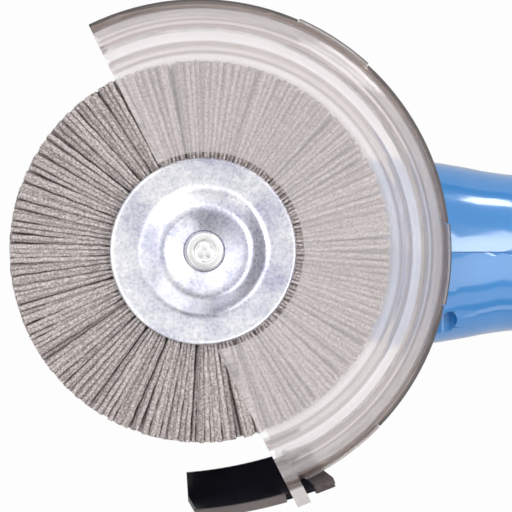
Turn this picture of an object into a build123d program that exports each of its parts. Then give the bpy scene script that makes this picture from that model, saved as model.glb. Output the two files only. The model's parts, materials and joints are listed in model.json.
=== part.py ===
from build123d import *

import math
import os

# Angle grinder with a wheel brush, a clear two-shell guard and a pull-out deflector.
# Frame: the tool lies on its back. Z is the spindle axis and points out of the wheel, the
# origin is where that axis meets the plane that the gear head rests on, and the motor lies
# along +X. Lengths are in millimetres and angles in degrees.

# Clearances
RUN_FIT = 0.05  # shaft in its bearing, on the radius
SEAT_FIT = 0.02  # pressed and screwed pieces, on the radius
SLIDE_FIT = 0.3  # a moving piece beside a still one
REACH = 400.0  # longer than the tool, for cutting slabs

# Bevel gears
GEAR_TEETH = 39
PINION_TEETH = 13
GEAR_MODULE = 1.3
GEAR_FACE = 7.0
GEAR_BACKLASH = 0.3
GEAR_RIM = 7.0
PRESSURE_ANGLE = 20.0
TOOTH_ROOT = 1.25  # dedendum in modules

# Gear head
MOTOR_AXIS_Z = 30.0
CHAMBER_GAP = 1.2
HEAD_WALL = 6.0
HEAD_FLOOR = 6.0
HEAD_EDGE_R = 14.0
HEAD_ABOVE_AXIS = 27.0
HEAD_JOINT_X = 46.0
HANDLE_THREAD_R = 3.4  # tapping size of M8
HANDLE_DEPTH = 9.0
HANDLE_BOSS_R = 9.0
HANDLE_BOSS_H = 4.0
NECK_SCREW_Y = 22.0
NECK_SCREW_DZ = 20.0
NECK_SCREW_R = 2.1
NECK_SCREW_HEAD_R = 4.0
NECK_SCREW_HEAD_H = 3.2
NECK_FLANGE = 12.0
NECK_SCREW_BITE = 14.0
FAN_RECESS_R = 26.0
FAN_RECESS = 6.0
EXHAUST_SLOTS = 3
EXHAUST_PITCH = 9.0
EXHAUST_W = 5.0
EXHAUST_L = 3.6

# Spindle and its bearings
SPINDLE_R = 6.0
SPINDLE_TAIL_R = 4.0
SPINDLE_COLLAR_R = 8.5
SPINDLE_THREAD_R = 7.0
SPINDLE_THREAD_L = 10.0
BUSH_WALL = 2.0
BUSH_L = 9.0
BUSH_SKIN = 3.0
BUSH_BOSS_WALL = 3.0
SPINDLE_BEARING_R = 16.0
SPINDLE_BEARING_W = 10.0
RETAINER_FLANGE = 4.0
RETAINER_SPIGOT = 4.0
RETAINER_MARGIN = 1.5
COLLAR_R = 21.0
COLLAR_H = 9.5
RETAINER_LIP = 2.5
RETAINER_SCREWS = 4
RETAINER_SCREW_R = 2.0
RETAINER_SCREW_HEAD_R = 3.8
RETAINER_SCREW_L = 12.0

# Spindle lock
LOCK_RADIUS = 13.8  # from the spindle axis
LOCK_PIN_R = 2.5
LOCK_HOLES = 4
LOCK_HEAD_R = 5.6
LOCK_HEAD_T = 3.0
LOCK_RECESS = 1.0
LOCK_TRAVEL = 4.0
LOCK_PIN_GAP = 1.2
LOCK_SPRING_WIRE = 0.8
LOCK_SPRING_TURNS = 4
LOCK_SPRING_SOLID = 3.0
LOCK_BOSS_WALL = 2.5

# Brush wheel
BRUSH_R = 57.5
BRUSH_WIDTH = 10.0
BRISTLE_LAYERS = 5
BRISTLES_PER_LAYER = 84
BRISTLE_ROOT_W = 1.15
BRISTLE_TIP_W = 2.7
BRISTLE_T = 1.25
PLATE_R = 27.6
PLATE_T = 1.2
PLATE_CURL = 2.2
PLATE_STEP_R = 17.5
PLATE_RIDGE_R = 14.0
PLATE_RIDGE_H = 3.0
PLATE_DISH_R = 7.0
PLATE_DISH_H = 1.5
BACKING_MARGIN = 1.8
ARBOR_R = 10.0
ARBOR_HEX = 22.0
ARBOR_SHOULDER = 3.5
STUD_R = 5.0
RIVET_R = 5.5
RIVET_H = 2.2
RIVET_DISH_R = 3.0
RIVET_DISH = 0.7
SPINDLE_FLANGE_R = 15.0
SPINDLE_FLANGE_T = 4.8
SPINDLE_FLANGE_FLATS = 26.0
SPINDLE_FLANGE_GAP = 0.7

# Guard
GUARD_EDGE_ANGLE = -66.3  # the straight edge's heading from the spindle to its lower end
GUARD_EDGE_OUT = 2.45  # how far that edge lies beyond the spindle axis
GUARD_EDGE_DRAFT = 6.0  # degrees that the edge leans in towards the back
GUARD_SWEEP_MARGIN = 12.0  # extra sweep that the straight edge trims off
GUARD_ROOM = 16.5  # from the brush to the outside of the rim
GUARD_WALL = 2.2
GUARD_DEPTH = 29.0
GUARD_BACK_GAP = 4.0  # from the collar to the back plate's hole
GUARD_CUT_GAP = 1.4  # from the brush's plate to the face's cut-out
GUARD_RIB_INSET = 12.4
GUARD_RIB_W = 3.0
GUARD_RIB_H = 1.0
GUARD_STEP_INSET = 8.5
GUARD_STEP_W = 1.8
GUARD_SHOULDER_DROP = 4.4
GUARD_SHOULDER_W = 1.6
GUARD_RIM_DROP = 7.0
GUARD_CORNER_R = 0.4
GUARD_SEAM_UP = 14.0  # seam between the two shells, above the back plate's underside
TAB_ANGLES = (-54.4, -3.1, 58.1)
TAB_SPAN = 18.75
TAB_T = 0.5
TAB_ROOT_H = 1.8
TAB_REACH = 8.0
EDGING_GAP = 0.3  # degrees between a strip of edging and a tab
EDGING_H = 2.6
EDGING_DROP = 0.4
CLAMP_BAND_T = 1.8
CLAMP_FLANGE_T = 1.6
CLAMP_FLANGE_W = 14.0
CLAMP_ANGLE = 205.0
CLAMP_GAP = 9.0
CLAMP_LUG_L = 11.0
CLAMP_LUG_T = 2.4
CLAMP_LIFT = 0.6
CLAMP_SCREW_R = 2.5
RIVETS = 4
RIVET_PITCH = 44.0
RIVET_SHANK_R = 2.0
RIVET_CAP_R = 3.8
RIVET_CAP_H = 1.3
RIVET_CIRCLE_OUT = 9.0

# Deflector that slides round the guard's rim
DEFLECTOR_FROM = -92.2
DEFLECTOR_TO = -60.4
DEFLECTOR_MIDDLE = -79.5  # where the strip comes nearest to the rim
DEFLECTOR_FLATTEN = 60.0  # how far beyond the spindle the strip's flatter bend is centred
DEFLECTOR_RISE = 0.8  # how far that bend leads the strip away from the rim
DEFLECTOR_T = 1.8
DEFLECTOR_DROP = 1.2  # front edge below the guard's face
DEFLECTOR_HOOK = 7.2
DEFLECTOR_HOOK_T = 2.0
DEFLECTOR_GRIP_FROM = -64.9
DEFLECTOR_GRIP_OUT = 1.4
DEFLECTOR_GRIP_DROP = 2.5
STRIP_LIP_FROM = -92.6
STRIP_LIP_TO = -71.9
STRIP_LIP_H = 2.0
STRIP_LIP_OUT = 0.6
BRACKET_TO = -65.3
BRACKET_T = 1.4
BRACKET_ROOT = 8.0
BRACKET_LEG = 20.0

# Motor
SHAFT_R = 5.0
PINION_SHAFT_R = 3.5
PINION_HUB = 3.5
PINION_NUT_AF = 8.0
PINION_NUT_T = 4.0
FRONT_BEARING_X = 30.0
FRONT_BEARING_R = 13.0
FRONT_BEARING_BORE_R = 4.5
FRONT_BEARING_W = 8.0
REAR_BEARING_X = 147.0
REAR_BEARING_R = 9.5
REAR_BEARING_BORE_R = 3.5
REAR_BEARING_W = 6.0
FAN_X = 49.0
FAN_R = 23.5
FAN_W = 11.0
FAN_DISC = 1.6
FAN_BLADES = 14
FAN_BLADE_T = 1.2
FAN_HUB_R = 9.0
BAFFLE_X = 64.0
BAFFLE_T = 2.4
BAFFLE_HOLE_R = 17.0
STATOR_X = 91.0
STATOR_L = 34.0
STATOR_R = 22.0
STATOR_YOKE = 5.0
POLE_SPAN = 100.0
AIR_GAP = 0.8
ROTOR_R = 13.0
ROTOR_SLOTS = 12
ROTOR_SLOT_W = 2.4
ROTOR_SLOT_D = 5.0
WINDING_OVERHANG = 5.0
WINDING_INSET = 1.0
COIL_SPAN = 70.0
COMMUTATOR_X = 132.0
COMMUTATOR_L = 11.0
COMMUTATOR_R = 9.0
COMMUTATOR_BARS = 24
BAR_GAP = 0.5
BAR_DEPTH = 1.2
CARBON_W = 6.0
CARBON_H = 8.0
CARBON_L = 9.0
CARBON_GAP = 0.2
HOLDER_T = 1.2

# Housing
HOUSING_WALL = 2.6
SEAM_W = 0.35
SEAM_D = 0.5
SHOULDER_W = 65.5
SHOULDER_H = 58.0
SHOULDER_X = 62.0
TAPER_W = 61.0
TAPER_H = 56.5
TAPER_X = 87.0
WAIST_W = 54.0
WAIST_H = 53.0
WAIST_X = 109.0
GRIP_W = 51.0
GRIP_H = 52.0
GRIP_X = 138.0
GRIP_END_X = 192.0
HEEL_W = 56.0
HEEL_X = 250.0
TAIL_X = 268.0
TAIL_W = 44.0
TAIL_H = 46.0
TAIL_WALL = 3.5
FAIRING_STEPS = 3  # faired sections from one station to the next
SECTION_SQUARENESS = 4.0  # straight share left between two corner arcs
RIB_T = 3.0
HOUSING_SCREWS = ((84.6, 20.0), (84.6, -20.0), (158.0, 19.0), (158.0, -19.0), (236.0, 20.0), (236.0, -20.0))
HOUSING_SCREW_R = 1.6
HOUSING_SCREW_HEAD_R = 3.2
HOUSING_SCREW_HEAD_H = 2.4
HOUSING_SCREW_SEAT = 9.0
HOUSING_SCREW_BITE = 11.0
HOUSING_BOSS_R = 4.6
INTAKE_SLOTS = 6
INTAKE_FROM_X = 206.0
INTAKE_PITCH = 5.0
INTAKE_W = 2.4
INTAKE_H = 22.0

# Switch
SLIDE_X = 178.0
SLIDE_L = 26.0
SLIDE_W = 15.0
SLIDE_T = 3.2
SLIDE_TRAVEL = 7.0
SLIDE_RIDGES = 5
SLIDE_RIDGE_H = 1.1
SLIDE_NECK_L = 9.0
SLIDE_NECK_W = 6.0
POCKET_Y = 22.8
POCKET_SKIN = 2.2
SWITCH_L = 34.0
SWITCH_W = 20.0
SWITCH_TOP_Y = 13.0
SWITCH_H = 22.0

# Cord gland, with the cord left off
GLAND_BORE_R = 3.75
GLAND_WALL = 3.4
GLAND_LIP = 2.6
GLAND_LIP_T = 3.0

# Values that follow from the sizes above
HEAD_TOP = MOTOR_AXIS_Z + HEAD_ABOVE_AXIS
PINION_PITCH_R = GEAR_MODULE * PINION_TEETH / 2
GEAR_PITCH_R = GEAR_MODULE * GEAR_TEETH / 2
CONE = math.hypot(PINION_PITCH_R, GEAR_PITCH_R)
GEAR_ANGLE = math.atan2(GEAR_PITCH_R, PINION_PITCH_R)
PINION_ANGLE = math.pi / 2 - GEAR_ANGLE
TIP_ANGLE = GEAR_MODULE / CONE
ROOT_ANGLE = TOOTH_ROOT * GEAR_MODULE / CONE
CHAMBER_R = CONE * math.sin(GEAR_ANGLE + TIP_ANGLE) + CHAMBER_GAP
HEAD_R = CHAMBER_R + HEAD_WALL
PASSAGE_R = CONE * math.sin(PINION_ANGLE + TIP_ANGLE) + CHAMBER_GAP
GEAR_WEB_Z = MOTOR_AXIS_Z + (CONE - GEAR_FACE) * math.cos(GEAR_ANGLE - ROOT_ANGLE) + GEAR_MODULE
GEAR_BACK_Z = MOTOR_AXIS_Z + CONE * math.cos(GEAR_ANGLE - ROOT_ANGLE) + GEAR_RIM
BUSH_R = SPINDLE_TAIL_R + RUN_FIT + BUSH_WALL
FLANGE_TOP = HEAD_TOP + RETAINER_FLANGE
COLLAR_TOP = FLANGE_TOP + COLLAR_H
BEARING_TOP = COLLAR_TOP - RETAINER_LIP
BEARING_FOOT = BEARING_TOP - SPINDLE_BEARING_W
WHEEL_SEAT_Z = COLLAR_TOP + SPINDLE_FLANGE_GAP + SPINDLE_FLANGE_T
BACK_PLATE_Z = WHEEL_SEAT_Z + ARBOR_SHOULDER
BACKING_Z = BACK_PLATE_Z + PLATE_T
FRONT_PLATE_Z = BACKING_Z + BRUSH_WIDTH
BACKING_R = PLATE_R - BACKING_MARGIN
GUARD_R = BRUSH_R + GUARD_ROOM
GUARD_FROM = GUARD_EDGE_ANGLE - GUARD_SWEEP_MARGIN
GUARD_TO = GUARD_EDGE_ANGLE + 180 + GUARD_SWEEP_MARGIN
GUARD_Z = COLLAR_TOP + CLAMP_LIFT
GUARD_TOP = GUARD_Z + GUARD_DEPTH
GUARD_SEAM_Z = GUARD_Z + GUARD_SEAM_UP
RIM_Z = GUARD_TOP - GUARD_RIM_DROP
TAB_R = GUARD_R + SLIDE_FIT + TAB_T
DEFLECTOR_R = TAB_R + SLIDE_FIT
DEFLECTOR_TOP = GUARD_TOP - DEFLECTOR_DROP
HOOK_TOP = GUARD_Z - SLIDE_FIT
LOCK_SEAT_Z = LOCK_RECESS + LOCK_HEAD_T + LOCK_TRAVEL + LOCK_SPRING_SOLID
SLIDE_POCKET_L = SLIDE_L + SLIDE_TRAVEL + 2 * SLIDE_FIT


# Building blocks


def turned(points):
    """A solid of revolution about Z from (radius, height) points."""
    return revolve(Plane.XZ * make_face(Polyline(*points, close=True)), Axis.Z)


def ring(r_in, r_out, z0, z1):
    """A plain ring about Z between two heights."""
    return Pos(0, 0, z0) * extrude(Circle(r_out) - Circle(r_in), z1 - z0)


def rod(r, z0, z1):
    """A plain round bar on the Z axis between two heights."""
    return Pos(0, 0, z0) * extrude(Circle(r), z1 - z0)


def arc_block(profile, start, stop):
    """A (radius, height) face carried round Z from one angle to another."""
    return Rot(0, 0, start) * revolve(Plane.XZ * profile, Axis.Z, stop - start)


def band(r_in, r_out, z0, z1):
    """A rectangular (radius, height) face for arc_block."""
    return Pos((r_in + r_out) / 2, (z0 + z1) / 2) * Rectangle(r_out - r_in, z1 - z0)


def along_motor(shape, x=0.0):
    """Turn a piece made on Z so that it lies on the motor axis, starting at x."""
    return Pos(x, 0, MOTOR_AXIS_Z) * Rot(0, 90, 0) * shape


def across(shape, x, z):
    """Turn a piece made on Z so that it points along +Y through (x, z)."""
    return Pos(x, 0, z) * Rot(-90, 0, 0) * shape


def slab(x0, x1):
    """Everything between two planes across the motor axis."""
    return Pos((x0 + x1) / 2, 0, MOTOR_AXIS_Z) * Box(x1 - x0, REACH, REACH)


def block(x0, x1, y0, y1, z0, z1):
    """A box between its two corners."""
    return Pos((x0 + x1) / 2, (y0 + y1) / 2, (z0 + z1) / 2) * Box(x1 - x0, y1 - y0, z1 - z0)


def spread(shape, count, start=0.0):
    """Copies of a piece spaced evenly about Z."""
    return [Rot(0, 0, start + i * 360 / count) * shape for i in range(count)]


def group(pieces):
    """Separate solids in one node."""
    return Compound(children=[solid for piece in pieces for solid in piece.solids()])


# Bevel gears, made with the cone's apex at the origin and the axis on Z


def tooth_outline(teeth, pitch_angle, reach):
    """Involute tooth section of a straight bevel gear, on the plane through the pitch line at that cone reach."""
    pitch_r = CONE * math.sin(pitch_angle)
    virtual_r = pitch_r / math.cos(pitch_angle)
    base_r = virtual_r * math.cos(math.radians(PRESSURE_ANGLE))
    half_tooth = (math.pi * GEAR_MODULE - GEAR_BACKLASH) / (4 * virtual_r)
    involute_at_pitch = math.tan(math.radians(PRESSURE_ANGLE)) - math.radians(PRESSURE_ANGLE)
    heights = [-2 * TOOTH_ROOT, -TOOTH_ROOT, -0.4, 0.3, 1.0]
    middle = Vector(math.sin(pitch_angle), 0, math.cos(pitch_angle))
    right, left = [], []
    for height in heights:
        radius = virtual_r + height * GEAR_MODULE
        roll = math.acos(min(1.0, base_r / max(radius, base_r)))
        half = half_tooth + involute_at_pitch - (math.tan(roll) - roll)
        cone_angle = pitch_angle + height * GEAR_MODULE / CONE
        turn = half * radius / (CONE * math.sin(cone_angle))
        for side, points in ((1, right), (-1, left)):
            ray = Vector(
                math.sin(cone_angle) * math.cos(turn),
                side * math.sin(cone_angle) * math.sin(turn),
                math.cos(cone_angle),
            )
            points.append(ray * (reach / ray.dot(middle)))
    return make_face(Polyline(*right, *reversed(left), close=True))


def bevel_teeth(teeth, pitch_angle, start):
    """All the teeth of one bevel gear, each tapering towards the apex."""
    outer = tooth_outline(teeth, pitch_angle, CONE)
    inner = tooth_outline(teeth, pitch_angle, CONE - GEAR_FACE)
    return spread(loft([outer, inner], ruled=True), teeth, start)


def make_crown_gear():
    """The large bevel gear on the spindle, teeth towards the motor axis, with holes for the lock pin."""
    root = GEAR_ANGLE - ROOT_ANGLE
    inner_r, inner_z = ((CONE - GEAR_FACE) * f(root) for f in (math.sin, math.cos))
    outer_r, outer_z = (CONE * f(root) for f in (math.sin, math.cos))
    web_z = GEAR_WEB_Z - MOTOR_AXIS_Z
    bore = SPINDLE_R + SEAT_FIT
    blank = turned(
        [
            (bore, web_z),
            (inner_r - GEAR_MODULE, web_z),
            (inner_r, inner_z),
            (outer_r, outer_z),
            (outer_r, outer_z + GEAR_RIM),
            (bore, outer_z + GEAR_RIM),
        ]
    )
    gear = blank.fuse(*bevel_teeth(GEAR_TEETH, GEAR_ANGLE, 0))
    hole = Pos(-LOCK_RADIUS, 0, 0) * rod(LOCK_PIN_R + SLIDE_FIT, 0, outer_z + 2 * GEAR_RIM)
    for cut in spread(hole, LOCK_HOLES):
        gear = gear - cut
    return Pos(0, 0, MOTOR_AXIS_Z) * gear


def make_pinion():
    """The small bevel gear on the armature shaft, a tooth space facing the crown gear."""
    root = PINION_ANGLE - ROOT_ANGLE
    inner_r, inner_x = ((CONE - GEAR_FACE) * f(root) for f in (math.sin, math.cos))
    outer_r, outer_x = (CONE * f(root) for f in (math.sin, math.cos))
    bore = PINION_SHAFT_R + SEAT_FIT
    blank = turned(
        [
            (bore, inner_x),
            (inner_r, inner_x),
            (outer_r, outer_x),
            (outer_r, FRONT_BEARING_X),
            (bore, FRONT_BEARING_X),
        ]
    )
    half_pitch = 180 / PINION_TEETH
    return along_motor(blank.fuse(*bevel_teeth(PINION_TEETH, PINION_ANGLE, 180 + half_pitch)))


# Gear head


def make_gear_housing():
    """The cast head: a bullet-shaped shell with the gear chamber, bearing seats and handle bosses."""
    flat = HEAD_R - HEAD_EDGE_R
    section = make_face(
        Polyline((0, 0), (flat, 0))
        + RadiusArc((flat, 0), (HEAD_R, HEAD_EDGE_R), -HEAD_EDGE_R)
        + Polyline((HEAD_R, HEAD_EDGE_R), (HEAD_R, HEAD_TOP), (0, HEAD_TOP), (0, 0))
    )
    nose = Rot(0, 0, 90) * revolve(Plane.XZ * section, Axis.Z, 180)
    half_neck = extrude(Plane.YZ * section, HEAD_JOINT_X)
    body = nose + half_neck + mirror(half_neck, Plane.XZ)
    for side in (-1, 1):
        boss = Rot(-90 * side, 0, 0) * extrude(Circle(HANDLE_BOSS_R), HEAD_R + HANDLE_BOSS_H, taper=0)
        body = body + Pos(0, 0, MOTOR_AXIS_Z) * boss
    body = body - rod(CHAMBER_R, HEAD_FLOOR, HEAD_TOP + 1)

    bush_boss = rod(BUSH_R + BUSH_BOSS_WALL, HEAD_FLOOR - 1, BUSH_SKIN + BUSH_L)
    lock_boss_r = LOCK_HEAD_R + SLIDE_FIT + LOCK_BOSS_WALL
    lock_boss = Pos(-LOCK_RADIUS, 0, 0) * rod(lock_boss_r, HEAD_FLOOR - 1, LOCK_SEAT_Z + LOCK_BOSS_WALL)
    body = body + bush_boss + (lock_boss & rod(CHAMBER_R + 1, 0, HEAD_TOP))
    body = body - rod(BUSH_R + SEAT_FIT, BUSH_SKIN, HEAD_TOP)
    well = rod(LOCK_HEAD_R + SLIDE_FIT, -1, LOCK_SEAT_Z) + rod(LOCK_PIN_R + RUN_FIT, 0, HEAD_TOP)
    body = body - Pos(-LOCK_RADIUS, 0, 0) * well

    body = body - along_motor(rod(PASSAGE_R, 0, HEAD_JOINT_X))
    body = body - along_motor(rod(FRONT_BEARING_R + SEAT_FIT, FRONT_BEARING_X, HEAD_JOINT_X + 1))
    body = body - along_motor(rod(FAN_RECESS_R, HEAD_JOINT_X - FAN_RECESS, HEAD_JOINT_X + 1))
    exhaust_x = HEAD_JOINT_X - FAN_RECESS / 2
    for i in range(EXHAUST_SLOTS):
        z = MOTOR_AXIS_Z + (i - (EXHAUST_SLOTS - 1) / 2) * EXHAUST_PITCH
        body = body - Pos(exhaust_x, 0, z) * Box(EXHAUST_L, 2 * HEAD_R + 2, EXHAUST_W)

    flange_x = HEAD_JOINT_X - NECK_FLANGE
    notch_l = flange_x - CHAMBER_R / 2
    notch_w = NECK_SCREW_HEAD_R + 2 * SLIDE_FIT
    for y, z in neck_screw_places():
        body = body - Pos(0, y, z) * Rot(0, 90, 0) * rod(NECK_SCREW_R + SEAT_FIT, flange_x - 1, HEAD_JOINT_X + 1)
        outer = math.copysign(HEAD_R + notch_w, y)
        notch = Pos(flange_x - notch_l / 2, (y + outer) / 2, z) * Box(notch_l, abs(outer - y), 2 * notch_w)
        well = Pos(flange_x - notch_l, y, z) * Rot(0, 90, 0) * rod(notch_w, 0, notch_l)
        body = body - notch - well
    for side in (-1, 1):
        mouth = HEAD_R + HANDLE_BOSS_H
        hole = Rot(-90 * side, 0, 0) * rod(HANDLE_THREAD_R, mouth - HANDLE_DEPTH, mouth + 1)
        body = body - Pos(0, 0, MOTOR_AXIS_Z) * hole
    for place in retainer_screw_places():
        body = body - place * rod(RETAINER_SCREW_R + SEAT_FIT, FLANGE_TOP - RETAINER_SCREW_L - 1, FLANGE_TOP)
    return body


def neck_screw_places():
    """Where the four screws that hold the housing to the head lie, as (y, z)."""
    return [
        (sy * NECK_SCREW_Y, MOTOR_AXIS_Z + sz * NECK_SCREW_DZ) for sy in (-1, 1) for sz in (-1, 1)
    ]


def retainer_screw_places():
    """Where the retainer's countersunk screws stand."""
    circle = (HEAD_R + CHAMBER_R) / 2
    return [
        Rot(0, 0, 45 + i * 360 / RETAINER_SCREWS) * Pos(circle, 0, 0) for i in range(RETAINER_SCREWS)
    ]


def make_gear_housing_screws():
    """Four pan-head screws through the head's flange into the housing."""
    flange_x = HEAD_JOINT_X - NECK_FLANGE
    screw = rod(NECK_SCREW_R, 0, NECK_FLANGE + NECK_SCREW_BITE)
    head = chamfer(rod(NECK_SCREW_HEAD_R, -NECK_SCREW_HEAD_H, 0).edges().group_by(Axis.Z)[0], NECK_SCREW_R / 3)
    screw = head + screw
    return group([Pos(flange_x, y, z) * Rot(0, 90, 0) * screw for y, z in neck_screw_places()])


def make_spindle_retainer():
    """Flanged collar that closes the chamber, holds the spindle bearing and carries the guard."""
    flange_r = HEAD_R - RETAINER_MARGIN
    spigot_r = CHAMBER_R - SEAT_FIT
    bore = SPINDLE_BEARING_R + SEAT_FIT
    throat = SPINDLE_COLLAR_R + SLIDE_FIT
    body = turned(
        [
            (bore, HEAD_TOP - RETAINER_SPIGOT),
            (spigot_r, HEAD_TOP - RETAINER_SPIGOT),
            (spigot_r, HEAD_TOP),
            (flange_r, HEAD_TOP),
            (flange_r, FLANGE_TOP),
            (COLLAR_R, FLANGE_TOP),
            (COLLAR_R, COLLAR_TOP),
            (throat, COLLAR_TOP),
            (throat, BEARING_TOP),
            (bore, BEARING_TOP),
        ]
    )
    for place in retainer_screw_places():
        body = body - place * retainer_screw(SEAT_FIT)
    return body


def retainer_screw(growth):
    """A countersunk screw flush with the retainer's flange, or its hole when grown."""
    shank = rod(RETAINER_SCREW_R + growth, FLANGE_TOP - RETAINER_SCREW_L, FLANGE_TOP)
    sink = RETAINER_SCREW_HEAD_R - RETAINER_SCREW_R
    cone = Pos(0, 0, FLANGE_TOP - sink / 2) * Cone(
        RETAINER_SCREW_R + growth, RETAINER_SCREW_HEAD_R + growth, sink
    )
    return shank + cone


def make_retainer_screws():
    """Countersunk screws that hold the retainer to the head."""
    return group([place * retainer_screw(0) for place in retainer_screw_places()])


def make_spindle():
    """Output spindle: bush journal, gear seat, collar under the bearing and the threaded end."""
    thread_foot = COLLAR_TOP + SPINDLE_FLANGE_GAP
    return turned(
        [
            (0, BUSH_SKIN + SLIDE_FIT),
            (SPINDLE_TAIL_R, BUSH_SKIN + SLIDE_FIT),
            (SPINDLE_TAIL_R, BUSH_SKIN + BUSH_L + SLIDE_FIT),
            (SPINDLE_R, BUSH_SKIN + BUSH_L + SPINDLE_R),
            (SPINDLE_R, GEAR_BACK_Z),
            (SPINDLE_COLLAR_R, GEAR_BACK_Z),
            (SPINDLE_COLLAR_R, BEARING_FOOT - RUN_FIT),
            (SPINDLE_R, BEARING_FOOT - RUN_FIT),
            (SPINDLE_R, BEARING_TOP + RUN_FIT),
            (SPINDLE_THREAD_R, BEARING_TOP + RUN_FIT),
            (SPINDLE_THREAD_R, thread_foot),
            (SPINDLE_R, thread_foot),
            (SPINDLE_R, WHEEL_SEAT_Z),
            (SPINDLE_THREAD_R, WHEEL_SEAT_Z),
            (SPINDLE_THREAD_R, WHEEL_SEAT_Z + SPINDLE_THREAD_L),
            (0, WHEEL_SEAT_Z + SPINDLE_THREAD_L),
        ]
    )


def ball_bearing(bore_r, outer_r, width):
    """A shielded ball bearing on Z: two rings with the shields set in between."""
    inner = bore_r + (outer_r - bore_r) * 0.28
    outer = outer_r - (outer_r - bore_r) * 0.28
    sunk = width * 0.06
    return turned(
        [
            (bore_r, 0),
            (inner, 0),
            (inner, sunk),
            (outer, sunk),
            (outer, 0),
            (outer_r, 0),
            (outer_r, width),
            (outer, width),
            (outer, width - sunk),
            (inner, width - sunk),
            (inner, width),
            (bore_r, width),
        ]
    )


def make_spindle_bearing():
    """Main spindle bearing in the retainer."""
    return Pos(0, 0, BEARING_FOOT) * ball_bearing(SPINDLE_R + RUN_FIT, SPINDLE_BEARING_R, SPINDLE_BEARING_W)


def make_spindle_bush():
    """Plain bush for the spindle's tail in the head's floor."""
    return ring(SPINDLE_TAIL_R + RUN_FIT, BUSH_R, BUSH_SKIN, BUSH_SKIN + BUSH_L)


def make_lock_button():
    """Spindle lock: a recessed press button whose stem reaches for the crown gear."""
    head = rod(LOCK_HEAD_R, LOCK_RECESS, LOCK_RECESS + LOCK_HEAD_T)
    head = fillet(head.edges().group_by(Axis.Z)[0], LOCK_HEAD_T / 3)
    stem = rod(LOCK_PIN_R, LOCK_RECESS, GEAR_WEB_Z - LOCK_PIN_GAP)
    return Pos(-LOCK_RADIUS, 0, 0) * (head + stem)


def make_lock_spring():
    """Coil spring between the lock button and its seat."""
    foot = LOCK_RECESS + LOCK_HEAD_T + LOCK_SPRING_WIRE / 2
    rise = LOCK_SEAT_Z - foot - LOCK_SPRING_WIRE / 2
    coil_r = (LOCK_PIN_R + LOCK_HEAD_R) / 2
    path = Helix(rise / LOCK_SPRING_TURNS, rise, coil_r)
    wire = sweep(Plane(path @ 0, z_dir=path % 0) * Circle(LOCK_SPRING_WIRE / 2), path, is_frenet=True)
    return Pos(-LOCK_RADIUS, 0, foot) * wire


# Brush wheel


def make_spindle_flange():
    """Backing flange under the wheel, with two flats for a spanner."""
    foot = COLLAR_TOP + SPINDLE_FLANGE_GAP
    body = ring(SPINDLE_R + SEAT_FIT, SPINDLE_FLANGE_R, foot, WHEEL_SEAT_Z)
    return body & Pos(0, 0, WHEEL_SEAT_Z) * Box(SPINDLE_FLANGE_FLATS, REACH, REACH)


def make_brush_arbor():
    """Hex nut of the wheel: threaded socket at the back, stud and staked rivet head in front."""
    socket_r = SPINDLE_THREAD_R + SEAT_FIT
    stud_foot = FRONT_PLATE_Z + PLATE_DISH_H
    rivet_foot = stud_foot + PLATE_T
    hexagon = extrude(RegularPolygon(ARBOR_HEX / 2, 6, major_radius=False), ARBOR_SHOULDER)
    body = Pos(0, 0, WHEEL_SEAT_Z) * hexagon
    body = body + turned(
        [
            (0, WHEEL_SEAT_Z),
            (ARBOR_R, WHEEL_SEAT_Z),
            (ARBOR_R, FRONT_PLATE_Z),
            (PLATE_DISH_R, FRONT_PLATE_Z),
            (PLATE_DISH_R, stud_foot),
            (STUD_R, stud_foot),
            (STUD_R, rivet_foot),
            (RIVET_R, rivet_foot),
            (RIVET_R, rivet_foot + RIVET_H * 0.6),
            (RIVET_R - RIVET_H * 0.4, rivet_foot + RIVET_H),
            (RIVET_DISH_R, rivet_foot + RIVET_H),
            (RIVET_DISH_R - RIVET_DISH, rivet_foot + RIVET_H - RIVET_DISH),
            (0, rivet_foot + RIVET_H - RIVET_DISH),
        ]
    )
    return body - rod(socket_r, WHEEL_SEAT_Z - 1, WHEEL_SEAT_Z + SPINDLE_THREAD_L + SLIDE_FIT)


def pressed_plate(line, curl):
    """A stamped round plate from its underside line of (radius, height) points, with its edge turned down."""
    top = [(r, z + PLATE_T) for r, z in reversed(line)]
    edge_r, edge_z = line[-1]
    rim = [(edge_r, edge_z - curl), (edge_r + PLATE_T, edge_z - curl), (edge_r + PLATE_T, edge_z)]
    return turned(line + rim + top)


def make_brush_front_plate():
    """Bright front plate: flat rim, raised ridge and a dish down to the rivet."""
    z = FRONT_PLATE_Z
    line = [
        (STUD_R + SEAT_FIT, z + PLATE_DISH_H),
        (PLATE_DISH_R, z + PLATE_DISH_H),
        (PLATE_RIDGE_R - PLATE_T, z + PLATE_RIDGE_H),
        (PLATE_RIDGE_R, z + PLATE_RIDGE_H),
        (PLATE_STEP_R, z),
        (PLATE_R - PLATE_T, z),
    ]
    return pressed_plate(line, PLATE_CURL - PLATE_T)


def make_brush_back_plate():
    """Back plate of the wheel, turned up round the backing."""
    plate = pressed_plate(
        [(ARBOR_R + SEAT_FIT, 0), (PLATE_STEP_R, 0), (PLATE_R - PLATE_T, 0)], PLATE_CURL - PLATE_T
    )
    return Pos(0, 0, BACK_PLATE_Z) * Pos(0, 0, PLATE_T) * Rot(180, 0, 0) * plate


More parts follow.
